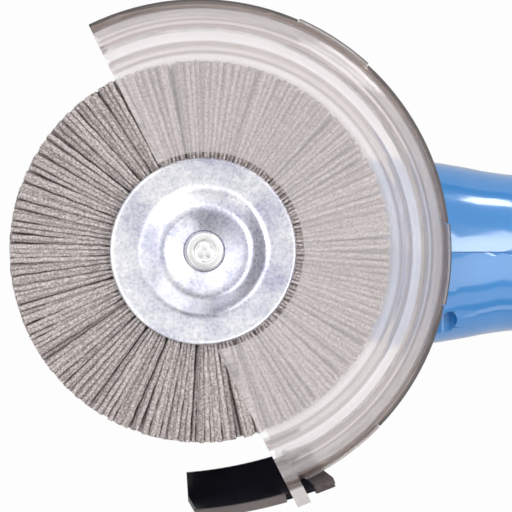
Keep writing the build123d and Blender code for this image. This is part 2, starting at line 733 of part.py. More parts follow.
def bristle_layer(turn):
    """One layer of radial strands, four-sided and widening outwards, as a toothed outline."""
    pitch = 2 * math.pi / BRISTLES_PER_LAYER
    points = []
    for i in range(BRISTLES_PER_LAYER):
        middle = (i + turn) * pitch
        for r, width, side in (
            (BACKING_R, BRISTLE_ROOT_W, -1),
            (BRUSH_R, BRISTLE_TIP_W, -1),
            (BRUSH_R, BRISTLE_TIP_W, 1),
            (BACKING_R, BRISTLE_ROOT_W, 1),
        ):
            angle = middle + side * width / (2 * r)
            points.append((r * math.cos(angle), r * math.sin(angle)))
    return make_face(Polyline(*points, close=True)) - Circle(ARBOR_R + BACKING_MARGIN)


def make_brush_bristles():
    """Abrasive filament strands fused to the ring that backs them."""
    backing = ring(ARBOR_R + SEAT_FIT, BACKING_R, BACKING_Z, BACKING_Z + BRUSH_WIDTH)
    curl = PLATE_CURL - PLATE_T + SEAT_FIT
    layer_pitch = (BRUSH_WIDTH - 2 * curl) / BRISTLE_LAYERS
    layers = []
    for i in range(BRISTLE_LAYERS):
        z = BACKING_Z + curl + (i + 0.5) * layer_pitch - BRISTLE_T / 2
        layers.append(Pos(0, 0, z) * extrude(bristle_layer(i % 2 / 2), BRISTLE_T))
    return backing.fuse(*layers)


# Guard


def make_guard_back():
    """Clear rear shell: back plate and the lower half of the rim wall."""
    r, z, t = GUARD_R, GUARD_Z, GUARD_WALL
    seam = GUARD_SEAM_Z - RUN_FIT
    hole_r = COLLAR_R + GUARD_BACK_GAP
    profile = make_face(
        FilletPolyline(
            (hole_r, z),
            (r, z),
            (r, seam),
            (r - t, seam),
            (r - t, z + t),
            (hole_r, z + t),
            radius=GUARD_CORNER_R,
            close=True,
        )
    )
    body = arc_block(profile, GUARD_FROM, GUARD_TO) - beyond_edge()
    for place in rivet_places():
        body = body - place * rod(RIVET_SHANK_R + SEAT_FIT, z - 1, z + t + 1)
    return body


def beyond_edge():
    """Everything beyond the guard's straight edge, which leans in towards the back."""
    place = Rot(0, 0, GUARD_EDGE_ANGLE) * Pos(0, -GUARD_EDGE_OUT, GUARD_TOP)
    return place * Rot(GUARD_EDGE_DRAFT, 0, 0) * block(-REACH, REACH, -REACH, 0, -REACH, REACH)


def make_guard_front():
    """Clear front cover: face with its ring rib, stepped shoulder, rim, clip tabs and deflector bracket."""
    r, top, t = GUARD_R, GUARD_TOP, GUARD_WALL
    seam = GUARD_SEAM_Z + RUN_FIT
    cut_r = PLATE_R + GUARD_CUT_GAP
    rib_out = r - GUARD_RIB_INSET
    rib_in = rib_out - GUARD_RIB_W
    step_in = r - GUARD_STEP_INSET
    step_out = step_in + GUARD_STEP_W
    profile = make_face(
        FilletPolyline(
            (cut_r, top - t),
            (cut_r, top),
            (rib_in, top),
            (rib_in + GUARD_RIB_H, top + GUARD_RIB_H),
            (rib_out - GUARD_RIB_H, top + GUARD_RIB_H),
            (rib_out, top),
            (step_in, top),
            (step_out, top - GUARD_STEP_W),
            (r - GUARD_SHOULDER_W, top - GUARD_SHOULDER_DROP),
            (r, RIM_Z),
            (r, seam),
            (r - t, seam),
            (r - t, RIM_Z - t / 3),
            (r - GUARD_SHOULDER_W - t / 2, top - GUARD_SHOULDER_DROP - t),
            (step_out - t / 2, top - GUARD_STEP_W - t),
            (step_in - t / 2, top - t),
            radius=GUARD_CORNER_R,
            close=True,
        )
    )
    body = arc_block(profile, GUARD_FROM, GUARD_TO)
    tab = band(r - t / 2, TAB_R, RIM_Z - TAB_ROOT_H, RIM_Z) + band(
        r + SLIDE_FIT, TAB_R, GUARD_SEAM_Z - TAB_REACH, RIM_Z
    )
    pieces = [arc_block(tab, angle - TAB_SPAN / 2, angle + TAB_SPAN / 2) for angle in TAB_ANGLES]
    bracket_in = DEFLECTOR_R - BRACKET_ROOT
    leg_in = DEFLECTOR_R + DEFLECTOR_RISE + DEFLECTOR_T + STRIP_LIP_OUT + SLIDE_FIT
    bracket_top = DEFLECTOR_TOP + SLIDE_FIT + BRACKET_T
    bracket = band(bracket_in, leg_in + BRACKET_T, DEFLECTOR_TOP + SLIDE_FIT, bracket_top)
    bracket = bracket + band(leg_in, leg_in + BRACKET_T, bracket_top - BRACKET_LEG, bracket_top)
    bracket = bracket + band(bracket_in, r, top - GUARD_SHOULDER_DROP - t / 2, bracket_top)
    pieces.append(arc_block(bracket, GUARD_FROM, BRACKET_TO))
    return body.fuse(*pieces) - beyond_edge()


def make_guard_edging():
    """Dark strips of edging round the rim, between the clip tabs."""
    profile = band(GUARD_R + SEAT_FIT, TAB_R, RIM_Z - EDGING_DROP - EDGING_H, RIM_Z - EDGING_DROP)
    starts = [angle + TAB_SPAN / 2 + EDGING_GAP for angle in TAB_ANGLES]
    stops = [angle - TAB_SPAN / 2 - EDGING_GAP for angle in TAB_ANGLES[1:]] + [GUARD_TO]
    return group([arc_block(profile, *span) - beyond_edge() for span in zip(starts, stops)])


def rivet_places():
    """Where the rivets join the guard to its clamp."""
    middle = GUARD_EDGE_ANGLE + 90
    return [
        Rot(0, 0, middle + (i - (RIVETS - 1) / 2) * RIVET_PITCH) * Pos(COLLAR_R + RIVET_CIRCLE_OUT, 0, 0)
        for i in range(RIVETS)
    ]


def make_guard_rivets():
    """Rivets through the clamp's flange and the guard's back plate."""
    foot = GUARD_Z - CLAMP_FLANGE_T
    top = GUARD_Z + GUARD_WALL
    rivet = rod(RIVET_SHANK_R, foot - RIVET_CAP_H, top + RIVET_CAP_H)
    caps = rod(RIVET_CAP_R, foot - RIVET_CAP_H, foot) + rod(RIVET_CAP_R, top, top + RIVET_CAP_H)
    return group([place * (rivet + caps) for place in rivet_places()])


def make_guard_clamp():
    """Steel clamp: a split band round the collar, its flange under the guard and two lugs."""
    bore = COLLAR_R + RUN_FIT
    band_r = bore + CLAMP_BAND_T
    foot = FLANGE_TOP + CLAMP_LIFT
    half_gap = math.degrees(CLAMP_GAP / 2 / bore)
    profile = band(bore, band_r, foot, GUARD_Z) + band(
        bore, bore + CLAMP_FLANGE_W, GUARD_Z - CLAMP_FLANGE_T, GUARD_Z
    )
    body = arc_block(profile, CLAMP_ANGLE + half_gap, CLAMP_ANGLE + 360 - half_gap)
    hole = clamp_bolt_hole()
    for side in (-1, 1):
        middle = side * (CLAMP_GAP + CLAMP_LUG_T) / 2
        lug = block(
            bore, band_r + CLAMP_LUG_L, middle - CLAMP_LUG_T / 2, middle + CLAMP_LUG_T / 2, foot, GUARD_Z
        )
        body = body + Rot(0, 0, CLAMP_ANGLE) * (lug - rod(bore, 0, GUARD_TOP))
    for place in rivet_places():
        body = body - place * rod(RIVET_SHANK_R + SEAT_FIT, foot, GUARD_Z + 1)
    return body - hole


def clamp_bolt_line():
    """Middle of the clamp screw, as a placement whose Z runs along the screw."""
    r = COLLAR_R + RUN_FIT + CLAMP_BAND_T + CLAMP_LUG_L / 2
    z = (FLANGE_TOP + CLAMP_LIFT + GUARD_Z - CLAMP_FLANGE_T) / 2
    return Rot(0, 0, CLAMP_ANGLE) * Pos(r, 0, z) * Rot(-90, 0, 0)


def clamp_bolt_hole():
    """Hole through both lugs for the clamp screw."""
    reach = CLAMP_GAP + 4 * CLAMP_LUG_T
    return clamp_bolt_line() * rod(CLAMP_SCREW_R + SEAT_FIT, -reach / 2, reach / 2)


def make_clamp_screw():
    """Screw and nut that draw the clamp's lugs together."""
    outer = CLAMP_GAP / 2 + CLAMP_LUG_T
    head_h = CLAMP_SCREW_R * 1.2
    across_flats = RegularPolygon(CLAMP_SCREW_R * 1.5, 6, major_radius=False)
    nut = Pos(0, 0, outer) * extrude(across_flats, head_h)
    shank = rod(CLAMP_SCREW_R, -outer, outer + head_h + 1)
    return clamp_bolt_line() * (nut + shank + rod(CLAMP_SCREW_R * 1.5, -outer - head_h, -outer))


def along_strip(profile, start, stop):
    """Sweep a profile along the strip's bend, which is flatter than the rim."""
    share = DEFLECTOR_R / (DEFLECTOR_R + DEFLECTOR_FLATTEN)
    bent = Pos(DEFLECTOR_FLATTEN, 0, 0) * profile
    place = Rot(0, 0, DEFLECTOR_MIDDLE) * Pos(-DEFLECTOR_FLATTEN, 0, 0)
    return place * arc_block(bent, (start - DEFLECTOR_MIDDLE) * share, (stop - DEFLECTOR_MIDDLE) * share)


def strip_lip(room):
    """The space of the lip along the strip's front edge, with some room below it."""
    r_in, r_out = DEFLECTOR_R, DEFLECTOR_R + DEFLECTOR_T + STRIP_LIP_OUT
    profile = band(r_in, r_out, DEFLECTOR_TOP - STRIP_LIP_H - room, DEFLECTOR_TOP)
    return along_strip(profile, STRIP_LIP_FROM, STRIP_LIP_TO + room)


def make_deflector():
    """Black extension strip: a wall along the rim, a hook behind the back plate and a thumb block."""
    r_in, r_out = DEFLECTOR_R, DEFLECTOR_R + DEFLECTOR_T
    foot = HOOK_TOP - DEFLECTOR_HOOK_T
    profile = band(r_in, r_out, foot, DEFLECTOR_TOP) + band(r_in - DEFLECTOR_HOOK, r_out, foot, HOOK_TOP)
    body = along_strip(profile, DEFLECTOR_FROM, DEFLECTOR_TO)
    grip = band(r_in + DEFLECTOR_T / 2, r_out + DEFLECTOR_GRIP_OUT, foot, DEFLECTOR_TOP - DEFLECTOR_GRIP_DROP)
    return body + along_strip(grip, DEFLECTOR_GRIP_FROM, DEFLECTOR_TO) - strip_lip(SEAT_FIT)


def make_deflector_lip():
    """Grey lip along the strip's front edge."""
    return strip_lip(0)


# Motor


def make_armature_shaft():
    """Stepped armature shaft from the pinion nut to the rear bearing."""
    nut_x = (CONE - GEAR_FACE) * math.cos(PINION_ANGLE - ROOT_ANGLE) - PINION_NUT_T
    front_end = FRONT_BEARING_X + FRONT_BEARING_W
    rear_end = REAR_BEARING_X + REAR_BEARING_W
    return along_motor(
        turned(
            [
                (0, nut_x),
                (PINION_SHAFT_R, nut_x),
                (PINION_SHAFT_R, FRONT_BEARING_X),
                (FRONT_BEARING_BORE_R, FRONT_BEARING_X),
                (FRONT_BEARING_BORE_R, front_end + RUN_FIT),
                (SHAFT_R, front_end + RUN_FIT),
                (SHAFT_R, REAR_BEARING_X - RUN_FIT),
                (REAR_BEARING_BORE_R, REAR_BEARING_X - RUN_FIT),
                (REAR_BEARING_BORE_R, rear_end),
                (0, rear_end),
            ]
        )
    )


def make_pinion_nut():
    """Hex nut that holds the pinion on its shaft."""
    foot = (CONE - GEAR_FACE) * math.cos(PINION_ANGLE - ROOT_ANGLE) - PINION_NUT_T
    hexagon = RegularPolygon(PINION_NUT_AF / 2, 6, major_radius=False) - Circle(PINION_SHAFT_R + SEAT_FIT)
    return along_motor(extrude(hexagon, PINION_NUT_T), foot)


def make_front_bearing():
    """Armature bearing in the gear head."""
    return along_motor(
        ball_bearing(FRONT_BEARING_BORE_R + RUN_FIT, FRONT_BEARING_R, FRONT_BEARING_W), FRONT_BEARING_X
    )


def make_rear_bearing():
    """Armature bearing in the housing's rear rib."""
    return along_motor(
        ball_bearing(REAR_BEARING_BORE_R + RUN_FIT, REAR_BEARING_R, REAR_BEARING_W), REAR_BEARING_X
    )


def make_fan():
    """Cooling fan: a disc with radial blades on a hub."""
    bore = SHAFT_R + SEAT_FIT
    disc = ring(bore, FAN_R, FAN_W - FAN_DISC, FAN_W) + ring(bore, FAN_HUB_R, 0, FAN_W)
    blade = block(FAN_HUB_R - 1, FAN_R, -FAN_BLADE_T / 2, FAN_BLADE_T / 2, 0, FAN_W - FAN_DISC / 2)
    return along_motor(disc.fuse(*spread(blade, FAN_BLADES)), FAN_X)


def make_rotor_core():
    """Slotted lamination stack of the armature."""
    outline = Circle(ROTOR_R) - Circle(SHAFT_R + SEAT_FIT)
    slot = Pos(ROTOR_R - ROTOR_SLOT_D / 2 + 1, 0) * Rectangle(ROTOR_SLOT_D + 2, ROTOR_SLOT_W)
    for cut in spread(slot, ROTOR_SLOTS):
        outline = outline - cut
    return along_motor(extrude(outline, STATOR_L), STATOR_X)


def make_rotor_windings():
    """End turns of the armature winding, one ring at each end of the stack."""
    outer = ROTOR_R - WINDING_INSET
    rings = [
        ring(SHAFT_R + SEAT_FIT, outer, -WINDING_OVERHANG, 0),
        ring(SHAFT_R + SEAT_FIT, outer, STATOR_L, STATOR_L + WINDING_OVERHANG),
    ]
    rounded = [fillet(rings[0].edges().group_by(Axis.Z)[0], 1.5), fillet(rings[1].edges().group_by(Axis.Z)[-1], 1.5)]
    return group([along_motor(piece, STATOR_X) for piece in rounded])


def make_commutator():
    """Commutator drum with a gap between every two bars."""
    outline = Circle(COMMUTATOR_R) - Circle(SHAFT_R + SEAT_FIT)
    gap = Pos(COMMUTATOR_R, 0) * Rectangle(2 * BAR_DEPTH, BAR_GAP)
    for cut in spread(gap, COMMUTATOR_BARS):
        outline = outline - cut
    return along_motor(extrude(outline, COMMUTATOR_L), COMMUTATOR_X)


def make_stator_core():
    """Field stack: a yoke ring with two pole arcs."""
    yoke = ring(STATOR_R - STATOR_YOKE, STATOR_R, 0, STATOR_L)
    pole = band(ROTOR_R + AIR_GAP, STATOR_R - STATOR_YOKE / 2, 0, STATOR_L)
    poles = [arc_block(pole, a - POLE_SPAN / 2, a + POLE_SPAN / 2) for a in (0, 180)]
    return along_motor(yoke.fuse(*poles), STATOR_X)


def make_field_coils():
    """Two field coils, each wound round its pole."""
    inner, outer = ROTOR_R + AIR_GAP + SEAT_FIT, STATOR_R - STATOR_YOKE - SEAT_FIT
    over = WINDING_OVERHANG
    whole = band(inner, outer, -over, STATOR_L + over)
    window = band(inner - 1, outer + 1, -SEAT_FIT, STATOR_L + SEAT_FIT)
    half_pole = POLE_SPAN / 2 + math.degrees(SEAT_FIT / inner)
    coils = []
    for a in (0, 180):
        coil = arc_block(whole, a - COIL_SPAN, a + COIL_SPAN)
        coils.append(along_motor(coil - arc_block(window, a - half_pole, a + half_pole), STATOR_X))
    return group(coils)


def carbon_box(side, inner, outer, growth):
    """A box beside the commutator, from one radius to another along Y."""
    x = COMMUTATOR_X + COMMUTATOR_L / 2
    half_w, half_h = CARBON_W / 2 + growth, CARBON_H / 2 + growth
    y0, y1 = sorted((side * inner, side * outer))
    return block(x - half_w, x + half_w, y0, y1, MOTOR_AXIS_Z - half_h, MOTOR_AXIS_Z + half_h)


def make_carbon_brushes():
    """The two carbon brushes that ride on the commutator."""
    inner = COMMUTATOR_R + CARBON_GAP
    return group([carbon_box(side, inner, inner + CARBON_L, 0) for side in (-1, 1)])


def make_brush_holders():
    """Brass tubes that guide the carbon brushes."""
    inner = COMMUTATOR_R + 2
    outer = holder_end()
    return group(
        [
            carbon_box(side, inner, outer, HOLDER_T) - carbon_box(side, inner - 1, outer - HOLDER_T, SEAT_FIT)
            for side in (-1, 1)
        ]
    )


def holder_end():
    """Outer end of the brush holders, just inside the housing's wall."""
    return GRIP_W / 2 - HOUSING_WALL - 2 * SLIDE_FIT


# Housing


def housing_stations():
    """Sections that shape the housing along the motor axis, as (x, width, height)."""
    return (
        (HEAD_JOINT_X, SHOULDER_W, SHOULDER_H),
        (SHOULDER_X, SHOULDER_W, SHOULDER_H),
        (TAPER_X, TAPER_W, TAPER_H),
        (WAIST_X, WAIST_W, WAIST_H),
        (GRIP_X, GRIP_W, GRIP_H),
        (GRIP_END_X, GRIP_W, GRIP_H),
        (HEEL_X, HEEL_W, 2 * MOTOR_AXIS_Z),
        (TAIL_X, TAIL_W, TAIL_H),
    )


def faired_slopes(places, sizes):
    """Slope of a smooth line through each point, level where the line turns or starts."""
    steps = [(b - a) / (q - p) for p, q, a, b in zip(places, places[1:], sizes, sizes[1:])]
    inner = [2 * a * b / (a + b) if a * b > 0 else 0 for a, b in zip(steps, steps[1:])]
    return [0, *inner, steps[-1]]


def housing_sections():
    """The stations with faired sections between them, as (x, width, height)."""
    places, *forms = zip(*housing_stations())
    slopes = [faired_slopes(places, sizes) for sizes in forms]
    sections = []
    for i, (x0, x1) in enumerate(zip(places, places[1:])):
        level = all(sizes[i] == sizes[i + 1] for sizes in forms)
        count = 1 if level else FAIRING_STEPS
        for k in range(count):
            u = k / count
            rise = u * u * (3 - 2 * u)
            lead, trail = u * (1 - u) ** 2, u * u * (u - 1)
            row = [
                sizes[i] + rise * (sizes[i + 1] - sizes[i]) + (x1 - x0) * (lead * m[i] + trail * m[i + 1])
                for sizes, m in zip(forms, slopes)
            ]
            sections.append((x0 + u * (x1 - x0), *row))
    return (*sections, housing_stations()[-1])


def housing_face(x, width, height, inset):
    """One rounded section of the housing, inside the outer form by that inset."""
    corner = (min(width, height) - SECTION_SQUARENESS) / 2 - inset
    plane = Plane(origin=(x, 0, MOTOR_AXIS_Z), x_dir=(0, 1, 0), z_dir=(1, 0, 0))
    return plane * RectangleRounded(width - 2 * inset, height - 2 * inset, corner)


def housing_solid(inset):
    """The housing's outer form, or the form inside it by that inset."""
    faces = [housing_face(*section, inset) for section in housing_sections()]
    return loft(faces, ruled=True)


def housing_prism(x0, x1, inset):
    """A straight piece of the housing's form, with the section at the middle of its length."""
    middle = (x0 + x1) / 2
    sections = housing_sections()
    for (xa, wa, ha), (xb, wb, hb) in zip(sections, sections[1:]):
        if xa <= middle <= xb:
            share = (middle - xa) / (xb - xa)
            face = housing_face(x0, wa + share * (wb - wa), ha + share * (hb - ha), inset)
            return extrude(face, x1 - x0, dir=(1, 0, 0))
    raise ValueError(f"no housing at x = {middle}")


def rib(x0, x1, opening):
    """A wall across the housing between two planes, with an opening for what it carries."""
    return housing_prism(x0, x1, HOUSING_WALL / 2) - opening


def make_housing():
    """Both blue clamshell halves before they are parted, with ribs, bosses, vents and pockets."""
    outer = housing_solid(0)
    cavity = housing_solid(HOUSING_WALL) & slab(0, TAIL_X - TAIL_WALL)
    shell = outer - cavity

    stator_seat = along_motor(rod(STATOR_R + SEAT_FIT, 0, REACH))
    bearing_seat = along_motor(rod(REAR_BEARING_R + SEAT_FIT, 0, REACH))
    switch_seat = switch_box(SEAT_FIT)
    stator_end = STATOR_X + STATOR_L
    ribs = [
        rib(STATOR_X + RIB_T, STATOR_X + 2 * RIB_T, stator_seat),
        rib(stator_end - 2 * RIB_T, stator_end - RIB_T, stator_seat),
        rib(REAR_BEARING_X, REAR_BEARING_X + REAR_BEARING_W, bearing_seat),
        rib(SLIDE_X - SWITCH_L / 2 + RIB_T, SLIDE_X - SWITCH_L / 2 + 2 * RIB_T, switch_seat),
        rib(SLIDE_X + SWITCH_L / 2 - 2 * RIB_T, SLIDE_X + SWITCH_L / 2 - RIB_T, switch_seat),
    ]
    holder_x = COMMUTATOR_X + COMMUTATOR_L / 2
    holder_half = CARBON_W / 2 + HOLDER_T
    for side in (-1, 1):
        carrier = rib(
            holder_x - holder_half - RIB_T,
            holder_x + holder_half + RIB_T,
            along_motor(rod(COMMUTATOR_R + 3 * HOLDER_T, 0, REACH)),
        )
        half_h = CARBON_H / 2 + HOLDER_T + RIB_T
        keep = block(
            0, REACH, *sorted((0, side * REACH)), MOTOR_AXIS_Z - half_h, MOTOR_AXIS_Z + half_h
        )
        hole = carbon_box(side, 0, holder_end() + SEAT_FIT, HOLDER_T + SEAT_FIT)
        ribs.append((carrier & keep) - hole)
    coil_room = along_motor(rod(STATOR_R - STATOR_YOKE + SLIDE_FIT, 0, STATOR_X))
    for x, dz in HOUSING_SCREWS:
        post = across(rod(HOUSING_BOSS_R, -REACH / 2, REACH / 2), x, MOTOR_AXIS_Z + dz) - coil_room
        ribs.append(post & housing_prism(x - HOUSING_BOSS_R, x + HOUSING_BOSS_R, HOUSING_WALL / 2))
    for y, z in neck_screw_places():
        boss_end = HEAD_JOINT_X + NECK_SCREW_BITE + 2
        post = Pos(0, y, z) * Rot(0, 90, 0) * rod(HOUSING_BOSS_R, HEAD_JOINT_X, boss_end)
        ribs.append(post & housing_prism(HEAD_JOINT_X, boss_end, HOUSING_WALL / 2))
    pad_half = SLIDE_POCKET_L / 2 + RIB_T
    pad = block(
        SLIDE_X - pad_half,
        SLIDE_X + pad_half,
        POCKET_Y - POCKET_SKIN,
        REACH / 2,
        MOTOR_AXIS_Z - SLIDE_W / 2 - RIB_T,
        MOTOR_AXIS_Z + SLIDE_W / 2 + RIB_T,
    )
    ribs.append(pad & housing_prism(SLIDE_X - pad_half, SLIDE_X + pad_half, HOUSING_WALL / 2))
    shell = shell.fuse(*ribs)
    seam = block(HEAD_JOINT_X, TAIL_X, -SEAM_W / 2, SEAM_W / 2, -REACH, REACH) & outer
    return shell.cut(seam - housing_solid(SEAM_D), *housing_cuts())


def housing_cuts():
    """Screw holes, vents, the switch pocket and the gland hole."""
    cuts = []
    for x, dz in HOUSING_SCREWS:
        z = MOTOR_AXIS_Z + dz
        cuts.append(across(rod(HOUSING_SCREW_R + SEAT_FIT, -HOUSING_SCREW_SEAT, HOUSING_SCREW_BITE + 1), x, z))
        cuts.append(across(rod(HOUSING_SCREW_HEAD_R + SLIDE_FIT, -REACH, -HOUSING_SCREW_SEAT), x, z))
    for y, z in neck_screw_places():
        hole = rod(NECK_SCREW_R + SEAT_FIT, HEAD_JOINT_X - 1, HEAD_JOINT_X + NECK_SCREW_BITE + 1)
        cuts.append(Pos(0, y, z) * Rot(0, 90, 0) * hole)
    for i in range(INTAKE_SLOTS):
        x = INTAKE_FROM_X + i * INTAKE_PITCH
        cuts.append(Pos(x, 0, MOTOR_AXIS_Z) * Box(INTAKE_W, REACH, INTAKE_H))
    front = slide_pocket_front()
    half_w = SLIDE_W / 2 + SLIDE_FIT
    cuts.append(
        block(front, front + SLIDE_POCKET_L, POCKET_Y, REACH, MOTOR_AXIS_Z - half_w, MOTOR_AXIS_Z + half_w)
    )
    window_half = SLIDE_NECK_W / 2 + SLIDE_FIT
    neck_x = slide_neck_x()
    cuts.append(
        block(
            neck_x - SLIDE_TRAVEL - SLIDE_FIT,
            neck_x + SLIDE_NECK_L + SLIDE_FIT,
            SWITCH_TOP_Y,
            REACH,
            MOTOR_AXIS_Z - window_half,
            MOTOR_AXIS_Z + window_half,
        )
    )
    cuts.append(along_motor(rod(GLAND_BORE_R + GLAND_WALL + SEAT_FIT, TAIL_X - 2 * TAIL_WALL, TAIL_X + 1)))
    return cuts


def make_housing_left():
    """Left half of the clamshell, on +Y, with the switch pocket."""
    return HOUSING & block(0, REACH, 0, REACH, -REACH, REACH)


def make_housing_right():
    """Right half of the clamshell, on -Y, with the screw recesses."""
    return HOUSING & block(0, REACH, -REACH, 0, -REACH, REACH)


def make_housing_screws():
    """Screws that hold the two halves together, heads deep in the right half."""
    screw = rod(HOUSING_SCREW_R, 0, HOUSING_SCREW_SEAT + HOUSING_SCREW_BITE)
    head = rod(HOUSING_SCREW_HEAD_R, -HOUSING_SCREW_HEAD_H, 0)
    screw = Pos(0, 0, -HOUSING_SCREW_SEAT) * (screw + head)
    return group([across(screw, x, MOTOR_AXIS_Z + dz) for x, dz in HOUSING_SCREWS])


def make_air_baffle():
    """Plate behind the fan that guides air from the motor into it."""
    form = housing_prism(BAFFLE_X, BAFFLE_X + BAFFLE_T, HOUSING_WALL + SLIDE_FIT)
    return form - along_motor(rod(BAFFLE_HOLE_R, 0, REACH))


# Switch and gland


def slide_pocket_front():
    """Front end of the pocket that the slide moves in."""
    return SLIDE_X - SLIDE_POCKET_L / 2


def slide_neck_x():
    """Front face of the slide's neck at rest, with the slide at the pocket's rear end."""
    slide_front = slide_pocket_front() + SLIDE_FIT + SLIDE_TRAVEL
    return slide_front + (SLIDE_L - SLIDE_NECK_L) / 2


def make_switch_slide():
    """Thumb slide with grip ridges, and the neck that works the switch inside."""
    front = slide_pocket_front() + SLIDE_FIT + SLIDE_TRAVEL
    y0 = POCKET_Y + SLIDE_FIT / 2
    half_w = SLIDE_W / 2
    plate = block(front, front + SLIDE_L, y0, y0 + SLIDE_T, MOTOR_AXIS_Z - half_w, MOTOR_AXIS_Z + half_w)
    plate = fillet(plate.edges().filter_by(Axis.Y), SLIDE_W / 5)
    plate = chamfer(plate.faces().sort_by(Axis.Y)[-1].edges(), SLIDE_RIDGE_H / 2)
    pitch = SLIDE_L / (SLIDE_RIDGES + 1)
    ridges = []
    for i in range(SLIDE_RIDGES):
        x = front + (i + 1) * pitch
        ridges.append(
            block(
                x - pitch / 4,
                x + pitch / 4,
                y0 + SLIDE_T / 2,
                y0 + SLIDE_T + SLIDE_RIDGE_H,
                MOTOR_AXIS_Z - half_w * 0.7,
                MOTOR_AXIS_Z + half_w * 0.7,
            )
        )
    neck_x = slide_neck_x()
    neck = block(
        neck_x,
        neck_x + SLIDE_NECK_L,
        SWITCH_TOP_Y + SLIDE_FIT,
        y0 + SLIDE_T / 2,
        MOTOR_AXIS_Z - SLIDE_NECK_W / 2,
        MOTOR_AXIS_Z + SLIDE_NECK_W / 2,
    )
    return plate.fuse(neck, *ridges)


def switch_box(growth):
    """The switch unit's outline, or its seat when grown."""
    half_l, half_w = SWITCH_L / 2 + growth, SWITCH_W / 2 + growth
    return block(
        SLIDE_X - half_l,
        SLIDE_X + half_l,
        SWITCH_TOP_Y - SWITCH_H - growth,
        SWITCH_TOP_Y + growth,
        MOTOR_AXIS_Z - half_w,
        MOTOR_AXIS_Z + half_w,
    )


def make_switch_unit():
    """Mains switch under the slide."""
    return chamfer(switch_box(0).edges().filter_by(Axis.X), SLIDE_FIT * 3)


def make_cord_gland():
    """Rubber gland in the tail wall, with the bore that the supply cord would fill."""
    body_r = GLAND_BORE_R + GLAND_WALL
    lip_r = body_r + GLAND_LIP
    inside, outside = TAIL_X - TAIL_WALL, TAIL_X
    return along_motor(
        turned(
            [
                (GLAND_BORE_R, inside - GLAND_LIP_T),
                (lip_r, inside - GLAND_LIP_T),
                (lip_r, inside),
                (body_r, inside),
                (body_r, outside),
                (lip_r, outside),
                (lip_r - GLAND_LIP / 2, outside + GLAND_LIP_T),
                (GLAND_BORE_R, outside + GLAND_LIP_T),
            ]
        )
    )


HOUSING = make_housing()

PIECES = {
    "gear_housing": make_gear_housing,
    "gear_housing_screws": make_gear_housing_screws,
    "spindle_retainer": make_spindle_retainer,
    "retainer_screws": make_retainer_screws,
    "spindle": make_spindle,
    "spindle_bearing": make_spindle_bearing,
    "spindle_bush": make_spindle_bush,
    "crown_gear": make_crown_gear,
    "lock_button": make_lock_button,
    "lock_spring": make_lock_spring,
    "spindle_flange": make_spindle_flange,
    "brush_arbor": make_brush_arbor,
    "brush_front_plate": make_brush_front_plate,
    "brush_back_plate": make_brush_back_plate,
    "brush_bristles": make_brush_bristles,
    "guard_back": make_guard_back,
    "guard_front": make_guard_front,
    "guard_edging": make_guard_edging,
    "guard_rivets": make_guard_rivets,
    "guard_clamp": make_guard_clamp,
    "clamp_screw": make_clamp_screw,
    "deflector": make_deflector,
    "deflector_lip": make_deflector_lip,
    "armature_shaft": make_armature_shaft,
    "pinion": make_pinion,
    "pinion_nut": make_pinion_nut,
    "front_bearing": make_front_bearing,
    "rear_bearing": make_rear_bearing,
    "fan": make_fan,
    "rotor_core": make_rotor_core,
    "rotor_windings": make_rotor_windings,
    "commutator": make_commutator,
    "stator_core": make_stator_core,
    "field_coils": make_field_coils,
    "carbon_brushes": make_carbon_brushes,
    "brush_holders": make_brush_holders,
    "air_baffle": make_air_baffle,
    "housing_left": make_housing_left,
    "housing_right": make_housing_right,
    "housing_screws": make_housing_screws,
    "switch_slide": make_switch_slide,
    "switch_unit": make_switch_unit,
    "cord_gland": make_cord_gland,
}

os.makedirs("parts", exist_ok=True)
for name, make in PIECES.items():
    export_step(make(), f"parts/{name}.step")
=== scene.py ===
"""Looks of an angle grinder with a wheel brush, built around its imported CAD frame."""

from __future__ import annotations

import json
import logging
import math
import random
from dataclasses import dataclass, field
from enum import Enum

import bpy
from mathutils import Matrix, Vector

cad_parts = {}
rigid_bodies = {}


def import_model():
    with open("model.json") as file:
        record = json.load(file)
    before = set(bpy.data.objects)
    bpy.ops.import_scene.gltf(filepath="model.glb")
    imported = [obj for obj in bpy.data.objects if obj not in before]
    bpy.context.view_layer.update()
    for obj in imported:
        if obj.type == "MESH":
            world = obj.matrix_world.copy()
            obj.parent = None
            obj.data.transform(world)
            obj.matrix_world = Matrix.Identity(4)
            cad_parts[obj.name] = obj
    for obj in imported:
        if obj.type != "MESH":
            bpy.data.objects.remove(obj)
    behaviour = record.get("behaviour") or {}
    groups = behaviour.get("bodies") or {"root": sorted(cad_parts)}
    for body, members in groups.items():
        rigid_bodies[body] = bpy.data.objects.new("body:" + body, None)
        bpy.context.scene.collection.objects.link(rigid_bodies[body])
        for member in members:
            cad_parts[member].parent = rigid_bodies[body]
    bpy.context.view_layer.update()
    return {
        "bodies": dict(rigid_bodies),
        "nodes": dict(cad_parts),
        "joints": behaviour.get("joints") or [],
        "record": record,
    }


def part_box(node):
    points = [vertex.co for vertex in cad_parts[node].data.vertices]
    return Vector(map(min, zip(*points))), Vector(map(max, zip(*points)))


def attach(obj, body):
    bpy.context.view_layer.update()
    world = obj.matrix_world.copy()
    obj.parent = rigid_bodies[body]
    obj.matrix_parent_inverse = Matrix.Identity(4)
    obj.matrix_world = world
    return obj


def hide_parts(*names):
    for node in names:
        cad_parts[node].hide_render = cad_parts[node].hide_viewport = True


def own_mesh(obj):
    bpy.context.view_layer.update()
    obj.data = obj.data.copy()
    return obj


MM = 0.001
LOG = logging.getLogger("grinder")

Point = tuple[float, float]
Span = tuple[float, float]
Triple = tuple[float, float, float]
Colour = Triple
Socket = bpy.types.NodeSocket
Material = bpy.types.Material
Piece = bpy.types.Object

# Values of a noise at which a patchy colour is fully dark and fully light.
PATCH_SPAN: Span = (0.3, 0.7)

